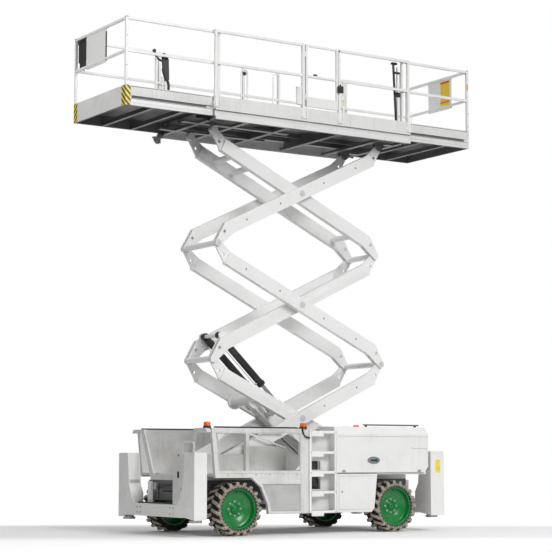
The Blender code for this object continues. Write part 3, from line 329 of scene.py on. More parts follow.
def dark_metal(name, colour, roughness, dust, metallic=0.0):
    """Painted or plated steel under a film of dust."""
    made = Finish(name, metallic=metallic)
    clouds = made.noise(5.0, 5.0, 0.65).between(0.4, 0.72)
    fine = made.noise(90.0, 3.0)
    shade = made.mix(clouds * dust, colour, (0.22, 0.2, 0.175))
    shade = made.mix(fine.between(0.62, 0.75) * 0.25, shade, [value * 2.2 + 0.02 for value in colour])
    return made.set(colour=shade, roughness=roughness + clouds * 0.25, normal=made.bump(fine, 0.15, 0.001))


black_paint = dark_metal("black_paint", (0.014, 0.014, 0.015), 0.35, 0.15)
chassis_black = dark_metal("chassis_black", (0.03, 0.03, 0.03), 0.55, 0.35)
road_dirt = dark_metal("road_dirt", (0.05, 0.047, 0.042), 0.75, 0.6)
zinc = dark_metal("zinc_plate", (0.55, 0.55, 0.53), 0.35, 0.2, 0.9)
dark_grey = dark_metal("dark_grey_paint", (0.12, 0.12, 0.125), 0.5, 0.35)


# %% [markdown]
# ## Green wheels
# The wheel discs are sprayed a strong green gloss, with dust in patches and small chips down to grey
# primer.


# %% Green gloss
def green_gloss():
    made = Finish("green_gloss", coat=0.3, coat_roughness=0.15, specular=0.35)
    clouds = made.noise(7.0, 5.0, 0.6).between(0.45, 0.75)
    fine = made.noise(120.0, 2.0)
    chips = made.cells(85.0).under(0.09) * made.noise(14.0).between(0.58, 0.66)
    shade = made.mix(made.noise(3.0, 3.0), (0.001, 0.165, 0.028), (0.002, 0.235, 0.045))
    shade = made.mix(clouds * 0.3, shade, (0.1, 0.2, 0.09))
    shade = made.mix(chips * 0.7, shade, (0.35, 0.38, 0.34))
    return made.set(
        colour=shade, roughness=0.22 + clouds * 0.25, normal=made.bump(fine - chips, 0.1, 0.001),
    )


green = green_gloss()


# %% [markdown]
# ## Tyre rubber
# Off-road rubber is black in the grooves, where it stays clean and shaded, and pale with dried mud on the
# faces that touch the ground. The distance from the axle tells them apart: the lugs' tops are the outermost
# few millimetres. The distance is measured from each wheel's own axle, so the pattern turns with the wheel.


# %% Rubber
def rubber(name, centre, radius):
    made = Finish(name, specular=0.3)
    shift = {"Vector": made.place, "Location": (-centre[0], 0.0, -centre[2])}
    own = made.node("ShaderNodeMapping", None, shift)
    x, y, z = made.axes(own)
    reach = made.node("ShaderNodeMath", {"operation": "SQRT"}, {0: x * x + z * z})
    tops = reach.between(radius - 0.024, radius - 0.01)
    side = (y.size() - (abs(centre[1]) + 0.15)).between(0.0, 0.03)
    mud = made.noise(24.0, 6.0, 0.7).between(0.3, 0.62)
    grains = made.noise(160.0, 4.0, 0.7)
    shade = made.mix(mud * 0.35, (0.013, 0.012, 0.011), (0.055, 0.047, 0.038))
    pale = made.mix(grains, (0.42, 0.37, 0.3), (0.68, 0.61, 0.52))
    shade = made.mix(tops.most(side * 0.75) * (0.35 + mud * 0.65), shade, pale)
    return made.set(colour=shade, roughness=0.78 + mud * 0.15, normal=made.bump(grains, 0.35, 0.002))


# %% [markdown]
# ## Small finishes
# Oiled chrome for the rods, amber lenses, plain labels with a red or pale bar where a maker would print,
# black and yellow hazard tape, moulded plastic, and sheet with rows of small holes.


# %% Small finishes
def chrome():
    made = Finish("rod_chrome", metallic=1.0)
    oil = made.noise(20.0, 4.0).between(0.4, 0.7)
    shade = made.mix(oil * 0.5, (0.72, 0.72, 0.72), (0.35, 0.33, 0.29))
    return made.set(
        colour=shade, roughness=0.12 + oil * 0.2, normal=made.bump(made.noise(300.0), 0.03, 0.0005),
    )


def amber():
    made = Finish("amber_lens", coat=0.8, coat_roughness=0.05)
    x, y, z = made.axes()
    ribs = (z * 110.0).part().between(0.15, 0.5)
    shade = made.mix(ribs, (0.45, 0.045, 0.004), (0.9, 0.17, 0.01))
    made.shader.inputs["Emission Strength"].default_value = 0.25
    return made.set(
        colour=shade, roughness=0.18, normal=made.bump(ribs, 0.3, 0.002), glow=(0.6, 0.08, 0.005),
    )


def moulded(name, colour, roughness=0.5):
    made = Finish(name)
    grain = made.cells(260.0)
    wear = made.noise(9.0, 5.0, 0.6).between(0.5, 0.75)
    shade = made.mix(wear * 0.35, colour, [value + 0.05 for value in colour])
    return made.set(colour=shade, roughness=roughness + wear * 0.2, normal=made.bump(grain, 0.2, 0.001))


def perforated_sheet():
    """Grey sheet with rows of small round holes, shown as dark dots of painted shade."""
    made = Finish("perforated_sheet", coat=0.1)
    x, y, z = made.axes()
    across = (x * 75.0).part() - 0.5
    rows = (z * 75.0).part() - 0.5
    holes = made.node(
        "ShaderNodeMath", {"operation": "SQRT"}, {0: across * across + rows * rows},
    ).under(0.27)
    wear = made.noise(4.0, 6.0, 0.65).between(0.4, 0.72)
    shade = made.mix(wear * 0.6, (0.62, 0.62, 0.61), (0.42, 0.41, 0.39))
    # Painted shade: the holes are dark dots on the sheet, not openings.
    shade = made.mix(holes, shade, (0.1, 0.1, 0.1))
    return made.set(colour=shade, roughness=0.45 + wear * 0.2, normal=made.bump(1.0 - holes, 0.5, 0.003))


rod_chrome = chrome()
perforated = perforated_sheet()
seam_dark = moulded("seam_shadow", (0.2, 0.2, 0.2), 0.7)
brass = dark_metal("brass_pin", (0.5, 0.33, 0.1), 0.4, 0.3, 0.8)
engine_grey = dark_metal("engine_paint", (0.1, 0.11, 0.12), 0.5, 0.5)
pin_steel = dark_metal("pin_steel", (0.62, 0.62, 0.6), 0.4, 0.2, 0.0)
under_grey = white_paint("bracket_grey", (0.42, 0.42, 0.42), 0.6, 0.4, 0.6, 0.5)
dark_green = moulded("latch_green", (0.006, 0.05, 0.04), 0.4)
stained = white_paint("stained_enamel", (0.62, 0.62, 0.6), 0.95, 0.85, 0.9, 0.5)
amber_lens = amber()
black_plastic = moulded("black_plastic", (0.016, 0.016, 0.017))
red_plastic = moulded("red_plastic", (0.52, 0.015, 0.012), 0.35)
grey_plastic = moulded("grey_plastic", (0.22, 0.22, 0.23))


def hazard_tape(slope):
    """Black and yellow bars that lean one way or the other."""
    made = Finish("hazard_tape_left" if slope > 0 else "hazard_tape_right", coat=0.3)
    x, y, z = made.axes()
    bars = (z * 11.5 + (y * slope - x) * 11.5).part().over(0.5)
    wear = made.noise(30.0, 5.0, 0.7).between(0.52, 0.72)
    shade = made.mix(bars, (0.88, 0.66, 0.02), (0.012, 0.012, 0.012))
    shade = made.mix(wear * 0.25, shade, (0.55, 0.52, 0.45))
    return made.set(
        colour=shade, roughness=0.38 + wear * 0.3, normal=made.bump(made.noise(80.0), 0.05, 0.001),
    )


def label(name, colour, mark, bands, fading=0.2, faded=(0.75, 0.72, 0.6)):
    """A label of one colour, with bands of another between pairs of heights."""
    made = Finish(name, coat=0.4)
    z = made.axes()[2]
    marks = [z.over(low) * z.under(high) for low, high in bands]
    fade = made.noise(18.0, 5.0, 0.6).between(0.45, 0.75)
    shade = made.mix(marks[0] if len(marks) == 1 else marks[0].most(marks[1]), colour, mark)
    shade = made.mix(fade * fading, shade, faded)
    return made.set(
        colour=shade, roughness=0.35 + fade * 0.2, normal=made.bump(made.noise(60.0), 0.04, 0.001),
    )


yellow_label = label("yellow_label", (0.86, 0.7, 0.03), (0.78, 0.6, 0.02), [(0.95, 0.97)])
orange_label = label("orange_label", (0.85, 0.42, 0.03), (0.85, 0.3, 0.03), [(7.2, 7.22)])
green_tag = label("green_tag", (0.6, 0.72, 0.05), (0.8, 0.8, 0.75), [(6.8, 6.82)])
red_bars = [(7.4, 7.43), (7.07, 7.09)]
notice_label = label(
    "notice_label", (0.84, 0.58, 0.015), (0.62, 0.04, 0.012), red_bars, 0.15, (0.75, 0.7, 0.5),
)
tape_left = hazard_tape(1.0)
tape_right = hazard_tape(-1.0)


def pale_floor():
    """A white yard that brightens away from the machine until it meets the sky."""
    made = Finish("studio_sweep", specular=0.1)
    x, y, z = made.axes()
    beyond = x * LOOK.x + y * LOOK.y
    far, near = beyond.between(1.2, 4.0), (0.0 - beyond).between(1.6, 3.4) * 0.25
    glow = made.mix(far.most(near), (0.0, 0.0, 0.0), (1.0, 1.0, 1.0))
    made.shader.inputs["Emission Strength"].default_value = 0.8
    soft = made.noise(0.4, 2.0)
    return made.set(colour=made.mix(soft, (0.9, 0.9, 0.9), (0.94, 0.94, 0.94)), roughness=0.9, glow=glow)


floor.data.materials.append(pale_floor())
print("finishes:", len(bpy.data.materials))

# %% [markdown]
# ## Modelling helpers
# Pieces are made as by hand: add a primitive, work on its faces, then finish with a small bevel, because
# real steel never has a knife edge and the bevel catches the light. The helpers only shorten that.
# `outward` mends a piece's normals, and `settle` puts the finished piece on its body.

# %% Modelling helpers
MADE = []
SIDES = ((1, "left"), (-1, "right"))


def edit(piece):
    pick_only(piece)
    bpy.ops.object.mode_set(mode="EDIT")


def done():
    bpy.ops.object.mode_set(mode="OBJECT")


def outward(piece):
    """Turns every face of a closed piece outwards."""
    edit(piece)
    bpy.ops.mesh.select_all(action="SELECT")
    bpy.ops.mesh.normals_make_consistent(inside=False)
    done()
    return piece


def stock(low, high):
    """A bar of stock between two corners."""
    low, high = Vector(low), Vector(high)
    deselect()
    bpy.ops.mesh.primitive_cube_add(size=1.0, location=(low + high) / 2)
    piece = bpy.context.object
    piece.scale = high - low
    bpy.ops.object.transform_apply(location=True, rotation=True, scale=True)
    return piece


def round_stock(start, end, radius, sides=24, tip=None):
    """A turned bar between two points."""
    start, end = Vector(start), Vector(end)
    along = end - start
    deselect()
    bpy.ops.mesh.primitive_cone_add(
        vertices=sides,
        radius1=radius,
        radius2=radius if tip is None else tip,
        depth=along.length,
        location=(start + end) / 2,
        rotation=along.to_track_quat("Z", "Y").to_euler(),
    )
    piece = bpy.context.object
    bpy.ops.object.transform_apply(location=True, rotation=True, scale=True)
    return piece


def soften(piece, width=0.004, segments=2, angle=35.0):
    """Bevels the sharp edges and shades the rest smooth."""
    pick_only(piece)
    bevel = piece.modifiers.new("edges", "BEVEL")
    bevel.width = width
    bevel.segments = segments
    bevel.limit_method = "ANGLE"
    bevel.angle_limit = math.radians(angle)
    bevel.harden_normals = True
    bpy.ops.object.shade_smooth_by_angle(angle=math.radians(40.0))
    bpy.ops.object.modifier_apply(modifier="edges")
    return piece


def smooth(piece, angle=40.0):
    pick_only(piece)
    bpy.ops.object.shade_smooth_by_angle(angle=math.radians(angle))
    return piece


def join(pieces):
    """Makes several pieces one object."""
    pick_only(pieces[0])
    for piece in pieces[1:]:
        piece.select_set(True)
    if len(pieces) > 1:
        bpy.ops.object.join()
    return pieces[0]


def settle(piece, name, body, material):
    """Names a piece, or several joined ones, finishes it and puts it on its body."""
    if isinstance(piece, list):
        piece = join(piece)
    piece.name = name
    piece.data.name = name
    if material is not None:
        piece.data.materials.clear()
        piece.data.materials.append(material)
    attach(piece, body)
    MADE.append(name)
    return piece


def twin(piece, matrix):
    """A copy with its own mesh, moved by a matrix."""
    other = piece.copy()
    other.data = piece.data.copy()
    bpy.context.scene.collection.objects.link(other)
    other.data.transform(matrix)
    return other


def ring_of(unit, centre, axis, count, shift=0.0):
    """Copies of a unit turned round an axis through centre. The unit itself is removed."""
    made = []
    for step in range(count):
        turn = Matrix.Rotation(math.tau * (step + shift) / count, 4, axis)
        made.append(twin(unit, Matrix.Translation(centre) @ turn))
    bpy.data.objects.remove(unit)
    return made


def cad(node):
    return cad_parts[node]


def coat_node(node, material):
    piece = cad(node)
    piece.data.materials.clear()
    piece.data.materials.append(material)


def sheet_of(node):
    """A clean working copy of a CAD node, its flat faces whole again."""
    source = cad(node)
    piece = bpy.data.objects.new(node + "_copy", source.data.copy())
    bpy.context.scene.collection.objects.link(piece)
    edit(piece)
    bpy.ops.mesh.select_all(action="SELECT")
    bpy.ops.mesh.remove_doubles(threshold=0.00005)
    bpy.ops.mesh.dissolve_limited(angle_limit=0.01)
    done()
    return piece


def refined(node, body, material, width=0.004):
    """Replaces a CAD node by a copy of it with rolled edges."""
    piece = soften(sheet_of(node), width)
    settle(piece, node + "_finished", body, material)
    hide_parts(node)
    return piece


def lathe(section, centre, axis, steps=48):
    """Spins a closed section, given as (radius, distance along the axis), about a line through centre."""
    centre, axis = Vector(centre), Vector(axis).normalized()
    out = axis.orthogonal().normalized()
    deselect()
    bpy.ops.mesh.primitive_circle_add(vertices=len(section), fill_type="NOTHING")
    piece = bpy.context.object
    for corner, (radius, along) in zip(piece.data.vertices, section):
        corner.co = centre + axis * along + out * radius
    edit(piece)
    bpy.ops.mesh.select_all(action="SELECT")
    bpy.ops.mesh.spin(steps=steps, angle=math.tau, center=centre, axis=axis)
    bpy.ops.mesh.select_all(action="SELECT")
    bpy.ops.mesh.remove_doubles(threshold=0.0001)
    outward(piece)
    piece.location = (0.0, 0.0, 0.0)
    return smooth(piece, 35.0)


def plate(low, high, width=0.003):
    """A cut plate or block with its edges broken."""
    return soften(stock(low, high), width)


def slab(points, low, high, axis="Y", width=0.003):
    """A flat plate with a free outline, cut from sheet and given its thickness by an extrusion."""
    order = {"X": (1, 2, 0), "Y": (0, 2, 1), "Z": (0, 1, 2)}[axis]
    deselect()
    bpy.ops.mesh.primitive_circle_add(vertices=len(points), fill_type="NGON")
    piece = bpy.context.object
    for corner, point in zip(piece.data.vertices, points):
        place = [0.0, 0.0, 0.0]
        place[order[0]], place[order[1]], place[order[2]] = point[0], point[1], low
        corner.co = place
    way = [0.0, 0.0, 0.0]
    way[order[2]] = high - low
    edit(piece)
    bpy.ops.mesh.select_all(action="SELECT")
    bpy.ops.mesh.extrude_region_move(TRANSFORM_OT_translate={"value": way})
    outward(piece)
    piece.location = (0.0, 0.0, 0.0)
    return soften(piece, width)


def pipe(points, radius, bend=0.03, sides=4, loop=False):
    """A bent tube through points, its corners rounded."""
    points = [Vector(point) for point in points]
    track = []
    for index, point in enumerate(points):
        inner = loop or 0 < index < len(points) - 1
        if not inner or bend <= 0:
            track.append(point)
            continue
        before = (points[index - 1] - point).normalized()
        after = (points[(index + 1) % len(points)] - point).normalized()
        for step in range(5):
            t = step / 4
            start, end = point + before * bend, point + after * bend
            track.append(start * (1 - t) ** 2 + point * 2 * t * (1 - t) + end * t**2)
    curve = bpy.data.curves.new("track", "CURVE")
    curve.dimensions = "3D"
    curve.bevel_depth = radius
    curve.bevel_resolution = sides
    curve.use_fill_caps = True
    line = curve.splines.new("POLY")
    line.points.add(len(track) - 1)
    for knot, place in zip(line.points, track):
        knot.co = (*place, 1.0)
    line.use_cyclic_u = loop
    piece = bpy.data.objects.new("track", curve)
    bpy.context.scene.collection.objects.link(piece)
    pick_only(piece)
    bpy.ops.object.convert(target="MESH")
    return smooth(bpy.context.object, 50.0)


def bolt(place, axis, radius=0.012, height=0.008, washer=True):
    """A hexagon head on its washer."""
    place, axis = Vector(place), Vector(axis).normalized()
    head = soften(round_stock(place, place + axis * height, radius, 6), radius * 0.12, 1)
    if not washer:
        return head
    ring = soften(round_stock(place, place + axis * height * 0.3, radius * 1.5, 20), radius * 0.06, 1)
    return join([head, ring])


def two_tone(piece, first, second, rule):
    """Two finishes on one piece: the second one on the faces that pass a rule."""
    piece.data.materials.clear()
    for material in (first, second):
        piece.data.materials.append(material)
    for face in piece.data.polygons:
        face.material_index = 1 if rule(face) else 0


print("helpers ready")

# %% [markdown]
# ## Steelwork
# The arms, frames and decks have the right shape already. The big folded or welded pieces are copied with
# their edges rolled by a few millimetres, as a press brake or a weld leaves them, and then painted. The
# decks' undersides are painted a dark grey, which is painted shade that keeps them dim.

# %% Steelwork
ARMS = [f"arm_{stage}_{row}" for row in ("inner", "outer") for stage in (1, 2, 3)]
STEEL = [(arm, arm + "_body", arm_enamel, 0.006) for arm in ARMS] + [
    ("front_portal", "base", worn_enamel, 0.004),
    ("boarding_ladder", "base", step_paint, 0.003),
    ("side_cabinet_right", "base", enamel, 0.006),
    ("rear_bay_left", "base", enamel, 0.003),
    ("rear_bay_right", "base", enamel, 0.003),
    ("front_cabinet", "base", nose_shade_enamel, 0.006),
    ("front_outrigger_frame", "base", enamel, 0.005),
    ("rear_outrigger_frame", "base", enamel, 0.005),
    ("entry_gate", "gate", enamel, 0.004),
]
for node, body, paint, width in STEEL:
    refined(node, body, paint, width)


def deck(node, body, low):
    """A deck whose underside is painted dark, as painted shade."""
    piece = soften(sheet_of(node), 0.002)

    def beneath(face):
        x, y, z = face.center
        return face.normal.z < -0.5 or (abs(y) < 0.8 and z < low and abs(x) < 3.18)

    two_tone(piece, deck_enamel, underside_shade_paint, beneath)
    settle(piece, node + "_finished", body, None)
    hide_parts(node)
    return piece


FLOOR_Z = 6.36
deck("main_deck", "platform", FLOOR_Z - 0.01)
deck("front_extension", "front_deck", FLOOR_Z + 0.005)
deck("rear_extension", "rear_deck", FLOOR_Z + 0.005)
PAINTED = [
    ("main_frame", dark_grey),
    ("lower_barrel", enamel),
    ("lower_rod", rod_chrome),
    ("front_axle", chassis_black),
    ("rear_axle", chassis_black),
]
for side, word in SIDES:
    PAINTED += [
        ("side_frame_" + word, worn_enamel),
        ("steering_knuckle_" + word, chassis_black),
        ("upper_barrel_" + word, black_paint),
        ("upper_rod_" + word, rod_chrome),
        ("outrigger_leg_front_" + word, zinc),
        ("outrigger_leg_rear_" + word, zinc),
    ]
for node, paint in PAINTED:
    coat_node(node, paint)
print("steelwork painted")

# %% [markdown]
# ## Tyres
# A foam-filled rough-terrain tyre has a smooth carcass and rows of heavy bars that lean like a V and step
# down over the shoulder. The carcass is a section spun about the axle. One bar and one shoulder block are
# cut, and copies are turned round the wheel, the left row half a pitch behind the right. The bars are
# separate blocks of rubber sunk into the carcass, which keeps their corners crisp.

# %% Tyres
TYRE_RADIUS = 0.39
WHEEL_HALF = 0.185
BARS = 19
STUDS = 8
BEAD_SLOTS = 38
AXLE_X = 1.42
WHEEL_Y = 0.94
CORNERS = [(end, side) for end in ("front", "rear") for side in (1, -1)]


def wheel_place(end, side):
    """The wheel's centre and the word for its side."""
    x = AXLE_X if end == "front" else -AXLE_X
    return Vector((x, side * WHEEL_Y, TYRE_RADIUS)), "left" if side > 0 else "right"


def tyre(end, side):
    centre, word = wheel_place(end, side)
    half = WHEEL_HALF
    wall = [(0.294, 0.03), (0.306, 0.014), (0.33, 0.012), (0.35, 0.022), (0.362, 0.05)]
    section = [(radius, half - inset) for radius, inset in wall] + [(0.366, 0.0)]
    section += [(radius, inset - half) for radius, inset in reversed(wall)]
    pieces = [lathe(section, centre, (0, 1, 0), 76)]
    for hand in (1, -1):
        bar = stock((-0.027, 0.006, 0.352), (0.027, half - 0.016, TYRE_RADIUS - 0.001))
        for corner in bar.data.vertices:
            corner.co.x += (corner.co.y - 0.09) * 0.34
            if corner.co.z > 0.37:
                corner.co.x *= 0.86
            corner.co.y *= hand
        soften(bar, 0.005, 1)
        block = stock((0.002, half - 0.04, 0.322), (0.062, half - 0.002, 0.372))
        for corner in block.data.vertices:
            if corner.co.z < 0.33:
                corner.co.y -= 0.004 if corner.co.y > half - 0.02 else 0.0
                corner.co.x = 0.032 + (corner.co.x - 0.032) * 0.84
            corner.co.y *= hand
        soften(block, 0.005, 1)
        unit = outward(join([bar, block]))
        pieces += ring_of(unit, centre, "Y", BARS, 0.5 if hand < 0 else 0.0)
    finish = rubber(f"rubber_{end}_{word}", centre, TYRE_RADIUS)
    made = settle(pieces, f"tread_{end}_{word}", f"wheel_{end}_{word}", finish)
    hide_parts(f"tyre_{end}_{word}")


for end, side in CORNERS:
    tyre(end, side)
print("tyres done")

# %% [markdown]
# ## Wheel discs
# The disc is pressed from plate: a flanged edge, a deep dish and a flat ring where the studs sit, with the
# drive hub coming through the middle. It is spun like the tyre. The hub's cap with its plug, eight studs
# with pale zinc nuts, a valve, and a row of black blocks between the flange and the tyre are added. The
# blocks are painted shade that stands for dark openings there.

# %% Wheel discs
def disc(end, side):
    centre, word = wheel_place(end, side)
    half = WHEEL_HALF
    section = [
        (0.2925, half - 0.034),
        (0.2925, -half + 0.034),
        (0.278, -half + 0.034),
        (0.272, 0.03),
        (0.14, 0.026),
        (0.13, -0.03),
        (0.05, -0.03),
        (0.05, 0.052),
        (0.066, 0.05),
        (0.072, 0.038),
        (0.08, 0.034),
        (0.132, 0.034),
        (0.146, 0.042),
        (0.205, 0.064),
        (0.236, 0.07),
        (0.254, 0.078),
        (0.266, 0.104),
        (0.272, half - 0.04),
        (0.28, half - 0.034),
    ]
    out = Vector((0, side, 0))
    body = f"wheel_{end}_{word}"
    rim = settle(lathe(section, centre, out, 64), f"disc_{end}_{word}", body, green)
    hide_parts(f"rim_{end}_{word}")
    cap = lathe(
        [(0.0, 0.07), (0.028, 0.069), (0.04, 0.064), (0.049, 0.054), (0.049, 0.03), (0.0, 0.03)], centre,
        out, 32,
    )
    ring = lathe(
        [(0.06, 0.058), (0.066, 0.054), (0.066, 0.048), (0.052, 0.048), (0.052, 0.058)], centre, out, 32,
    )
    plug = bolt(centre + out * 0.069, out, 0.012, 0.01, False)
    settle([cap, ring, plug], f"hub_cap_{end}_{word}", body, green)
    nuts = []
    for step in range(STUDS):
        turn = math.tau * step / STUDS
        spoke = Vector((math.cos(turn), 0, math.sin(turn)))
        seat = centre + out * 0.034 + spoke * 0.104
        nuts.append(soften(round_stock(seat, seat + out * 0.016, 0.0135, 6), 0.0015, 1))
        nuts.append(round_stock(seat + out * 0.014, seat + out * 0.026, 0.006, 10))
        washer = soften(round_stock(seat - out * 0.001, seat + out * 0.003, 0.018, 18), 0.001, 1)
        nuts.append(washer)
    settle(nuts, f"wheel_nuts_{end}_{word}", body, zinc)
    # Painted shade: small black blocks stand for the dark openings by the bead.
    opening_shade = stock((-0.0115, half - 0.022, 0.297), (0.0115, half - 0.0095, 0.319))
    slots = ring_of(soften(opening_shade, 0.002, 1), centre, "Y", BEAD_SLOTS, 0.5)
    if side < 0:
        for slot in slots:
            for corner in slot.data.vertices:
                corner.co.y = 2 * centre.y - corner.co.y
            slot.data.flip_normals()
    settle(slots, f"bead_slots_{end}_{word}", body, black_plastic)
    stem = pipe(
        [centre + Vector((0.0, side * 0.075, 0.245)), centre + Vector((0.0, side * 0.115, 0.238))], 0.006,
    )
    settle(stem, f"valve_{end}_{word}", body, black_plastic)


for end, side in CORNERS:
    disc(end, side)
print("wheels done")

# %% [markdown]
# ## Beacons
# A beacon is a black moulded foot with an amber lens screwed on. The lens is blown in one piece: straight
# ribs round its side and a shallow dome on top. The rear one stands on a thin post off the outrigger
# housing.

# %% Beacons
for name, x, y, z in (
    ("front", 1.93, 1.04, 1.56), ("middle", 0.29, 1.09, 1.56), ("rear", -2.2, -1.0, 1.5853),
):
    up = Vector((0, 0, 1))
    spot = (x, y, z)
    foot = [(0.0, 0.0), (0.06, 0.0), (0.06, 0.012), (0.055, 0.02), (0.055, 0.03), (0.0, 0.03)]
    lens_section = [
        (0.0, 0.031), (0.049, 0.031), (0.051, 0.038), (0.047, 0.078), (0.04, 0.086), (0.022, 0.09),
        (0.0, 0.091),
    ]
    base_piece = [lathe(foot, spot, up, 32)]
    if name == "rear":
        base_piece.append(round_stock((x, y, 1.2255), (x, y, z + 0.004), 0.017, 16))
        base_piece.append(plate((x - 0.035, y - 0.035, 1.2255), (x + 0.035, y + 0.035, 1.232), 0.001))
    first = settle(base_piece, f"beacon_foot_{name}", "base", black_plastic)
    ribs = [lathe(lens_section, spot, up, 40)]
    ribs += ring_of(stock((0.046, -0.0022, 0.036), (0.0505, 0.0022, 0.076)), spot, "Z", 20)
    second = settle(ribs, f"beacon_lens_{name}", "base", amber_lens)
    for piece in (first, second):
        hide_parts(f"beacon_{name}")

# %% [markdown]
# ## Hoods
# The rear hoods are folded from sheet. A pressed oval recess holds a paddle latch, a seam runs in from the
# rear edge, and two small catches hold the lower edge. The hood's copy is softened first so that the folds
# are not sharp.

# %% Hoods
HOOD_Y = 1.135
LATCH_X, LATCH_Z = -0.98, 1.09
for side, word in SIDES:
    body = f"cover_{word}"
    refined(f"engine_cover_{word}", body, enamel, 0.004)
    skin = side * HOOD_Y
    centre = Vector((LATCH_X, skin, LATCH_Z))
    out = Vector((0, side, 0))
    oval = Matrix.Translation(centre) @ Matrix.Diagonal((2.1, 1.0, 1.0, 1.0)) @ Matrix.Translation(-centre)
    bezel = lathe(
        [(0.056, 0.0), (0.058, 0.004), (0.064, 0.0055), (0.07, 0.003), (0.071, 0.0)], centre, out, 48,
    )
    bezel.data.transform(oval)
    settle(bezel, f"latch_bezel_{word}", body, enamel)
    bowl = lathe(
        [(0.0, 0.0002), (0.057, 0.0002), (0.057, 0.0012), (0.03, 0.0008), (0.0, 0.0006)], centre, out, 48,
    )
    bowl.data.transform(oval)
    settle(bowl, f"latch_bowl_{word}", body, grey_plastic)
    low, high = sorted((skin + side * 0.001, skin + side * 0.007))
    paddle = plate((-1.015, low, 1.075), (-0.925, high, 1.105), 0.003)
    knob = round_stock((-1.035, skin, LATCH_Z), (-1.035, skin + side * 0.009, LATCH_Z), 0.02, 24)
    settle([paddle, soften(knob, 0.002)], f"latch_paddle_{word}", body, dark_green)
    seam = sorted((skin - side * 0.0005, skin + side * 0.0012))
    strips = [
        stock((-2.028, seam[0], 1.268), (-1.72, seam[1], 1.272)),
        stock((-1.722, seam[0], 1.268), (-1.718, seam[1], 1.3)),
        stock((-2.035, seam[0], 1.452), (-0.312, seam[1], 1.455)),
    ]
    settle(strips, f"hood_seams_{word}", body, seam_dark)
    catches = []
    for x in (-0.42, -1.86):
        low, high = sorted((skin, skin + side * 0.01))
        catches.append(plate((x - 0.03, low, 0.915), (x + 0.03, high, 0.945), 0.003))
        catches.append(bolt((x, skin + side * 0.008, 0.93), out, 0.008, 0.005, False))
    settle(catches, f"hood_catches_{word}", body, zinc)
    grip = []
    for x in (-0.95, -1.9):
        grip.append(
            plate((x - 0.012, side * 0.98 - 0.02, 1.6002), (x + 0.012, side * 0.98 + 0.02, 1.64), 0.003),
        )
    grip.append(pipe([(-0.9, side * 0.98, 1.632), (-1.97, side * 0.98, 1.632)], 0.011, 0.0))
    settle(grip, f"hood_bar_{word}", body, dark_grey)
    edge = sorted((side * 0.64, side * 1.02))
    ribs = [
        plate((x - 0.02, edge[0], 1.5998), (x + 0.02, edge[1], 1.606), 0.002) for x in (-0.6, -1.15, -1.7)
    ]
    settle(ribs, f"hood_ribs_{word}", body, enamel)

# %% [markdown]
# ## Lower boxes
# Below the hoods the fuel and battery boxes are closed by flat doors. Each door shows as a thin shadow gap
# with two butt hinges, a folded lip along the bottom and a small round lock.

# %% Lower boxes
BOX_Y = 1.12
for side, word in SIDES:
    skin = side * BOX_Y
    out = Vector((0, side, 0))
    gap = sorted((skin - side * 0.0005, skin + side * 0.001))
    lines = [
        stock((-0.93, gap[0], 0.352), (-0.34, gap[1], 0.355)),
        stock((-0.343, gap[0], 0.352), (-0.34, gap[1], 0.855)),
        stock((-1.005, gap[0], 0.852), (-0.34, gap[1], 0.855)),
    ]
    settle(lines, f"door_gap_{word}", "base", seam_dark)
    low, high = sorted((skin - side * 0.002, skin + side * 0.008))
    lip = [plate((-0.95, low, 0.31), (-0.31, high, 0.326), 0.002)]
    for x in (-0.46, -0.8):
        lip.append(
            round_stock(
                (x - 0.035, skin + side * 0.004, 0.853), (x + 0.035, skin + side * 0.004, 0.853), 0.007, 12,
            ),
        )
    settle(lip, f"box_lip_{word}", "base", enamel)
    lock = lathe(
        [(0.0, 0.0), (0.018, 0.0), (0.018, 0.004), (0.012, 0.007), (0.0, 0.007)], (-0.4, skin, 0.62), out,
        24,
    )
    settle(lock, f"door_lock_{word}", "base", zinc)

# %% [markdown]
# ## Boarding ladder
# Each tread has a folded front plate, deeper on its forward half, where the boot lands, and a strip of
# black grip tape. Flanges stiffen both uprights, a screw holds each end of a tread, and a battery box shows
# between the treads.

# %% Boarding ladder
TREAD_HEIGHTS = (0.33, 0.62, 0.915, 1.21, 1.515)
kicks, grips, screws = [], [], []
for z in TREAD_HEIGHTS:
    kicks.append(plate((-0.055, 1.118, z - 0.066), (0.162, 1.134, z + 0.018), 0.003))
    kicks.append(plate((-0.255, 1.118, z - 0.022), (-0.055, 1.13, z + 0.018), 0.002))
    grips.append(plate((-0.245, 1.0, z + 0.0175), (0.15, 1.1, z + 0.0205), 0.001))
    for x in (-0.272, 0.182):
        screws.append(bolt((x, 1.13, z), (0, 1, 0), 0.008, 0.005, False))
settle(kicks, "ladder_kick_plates", "base", step_paint)
settle(grips, "ladder_grip_tape", "base", black_plastic)
settle(screws, "ladder_screws", "base", zinc)
flanges = []
for x in (0.2, -0.292):
    flanges.append(plate((x - 0.004, 1.122, 0.312), (x + 0.008, 1.14, 1.545), 0.002))
settle(flanges, "ladder_flanges", "base", step_paint)
backing = [
    plate((-0.1, 0.88, 0.65), (0.13, 0.9, 1.09), 0.004),
    plate((-0.06, 0.9, 0.7), (0.06, 0.945, 0.85), 0.008),
]
settle(backing, "battery_box", "base", chassis_black)

# %% [markdown]
# ## Side frames
# The truss is welded from plate, so it has corner gussets, a folded lip round the window and a row of
# screws along the sill. The lower panel is perforated sheet in a frame. A black conduit runs along the top
# edge, and the middle beacon's cable drops through a short black conduit.

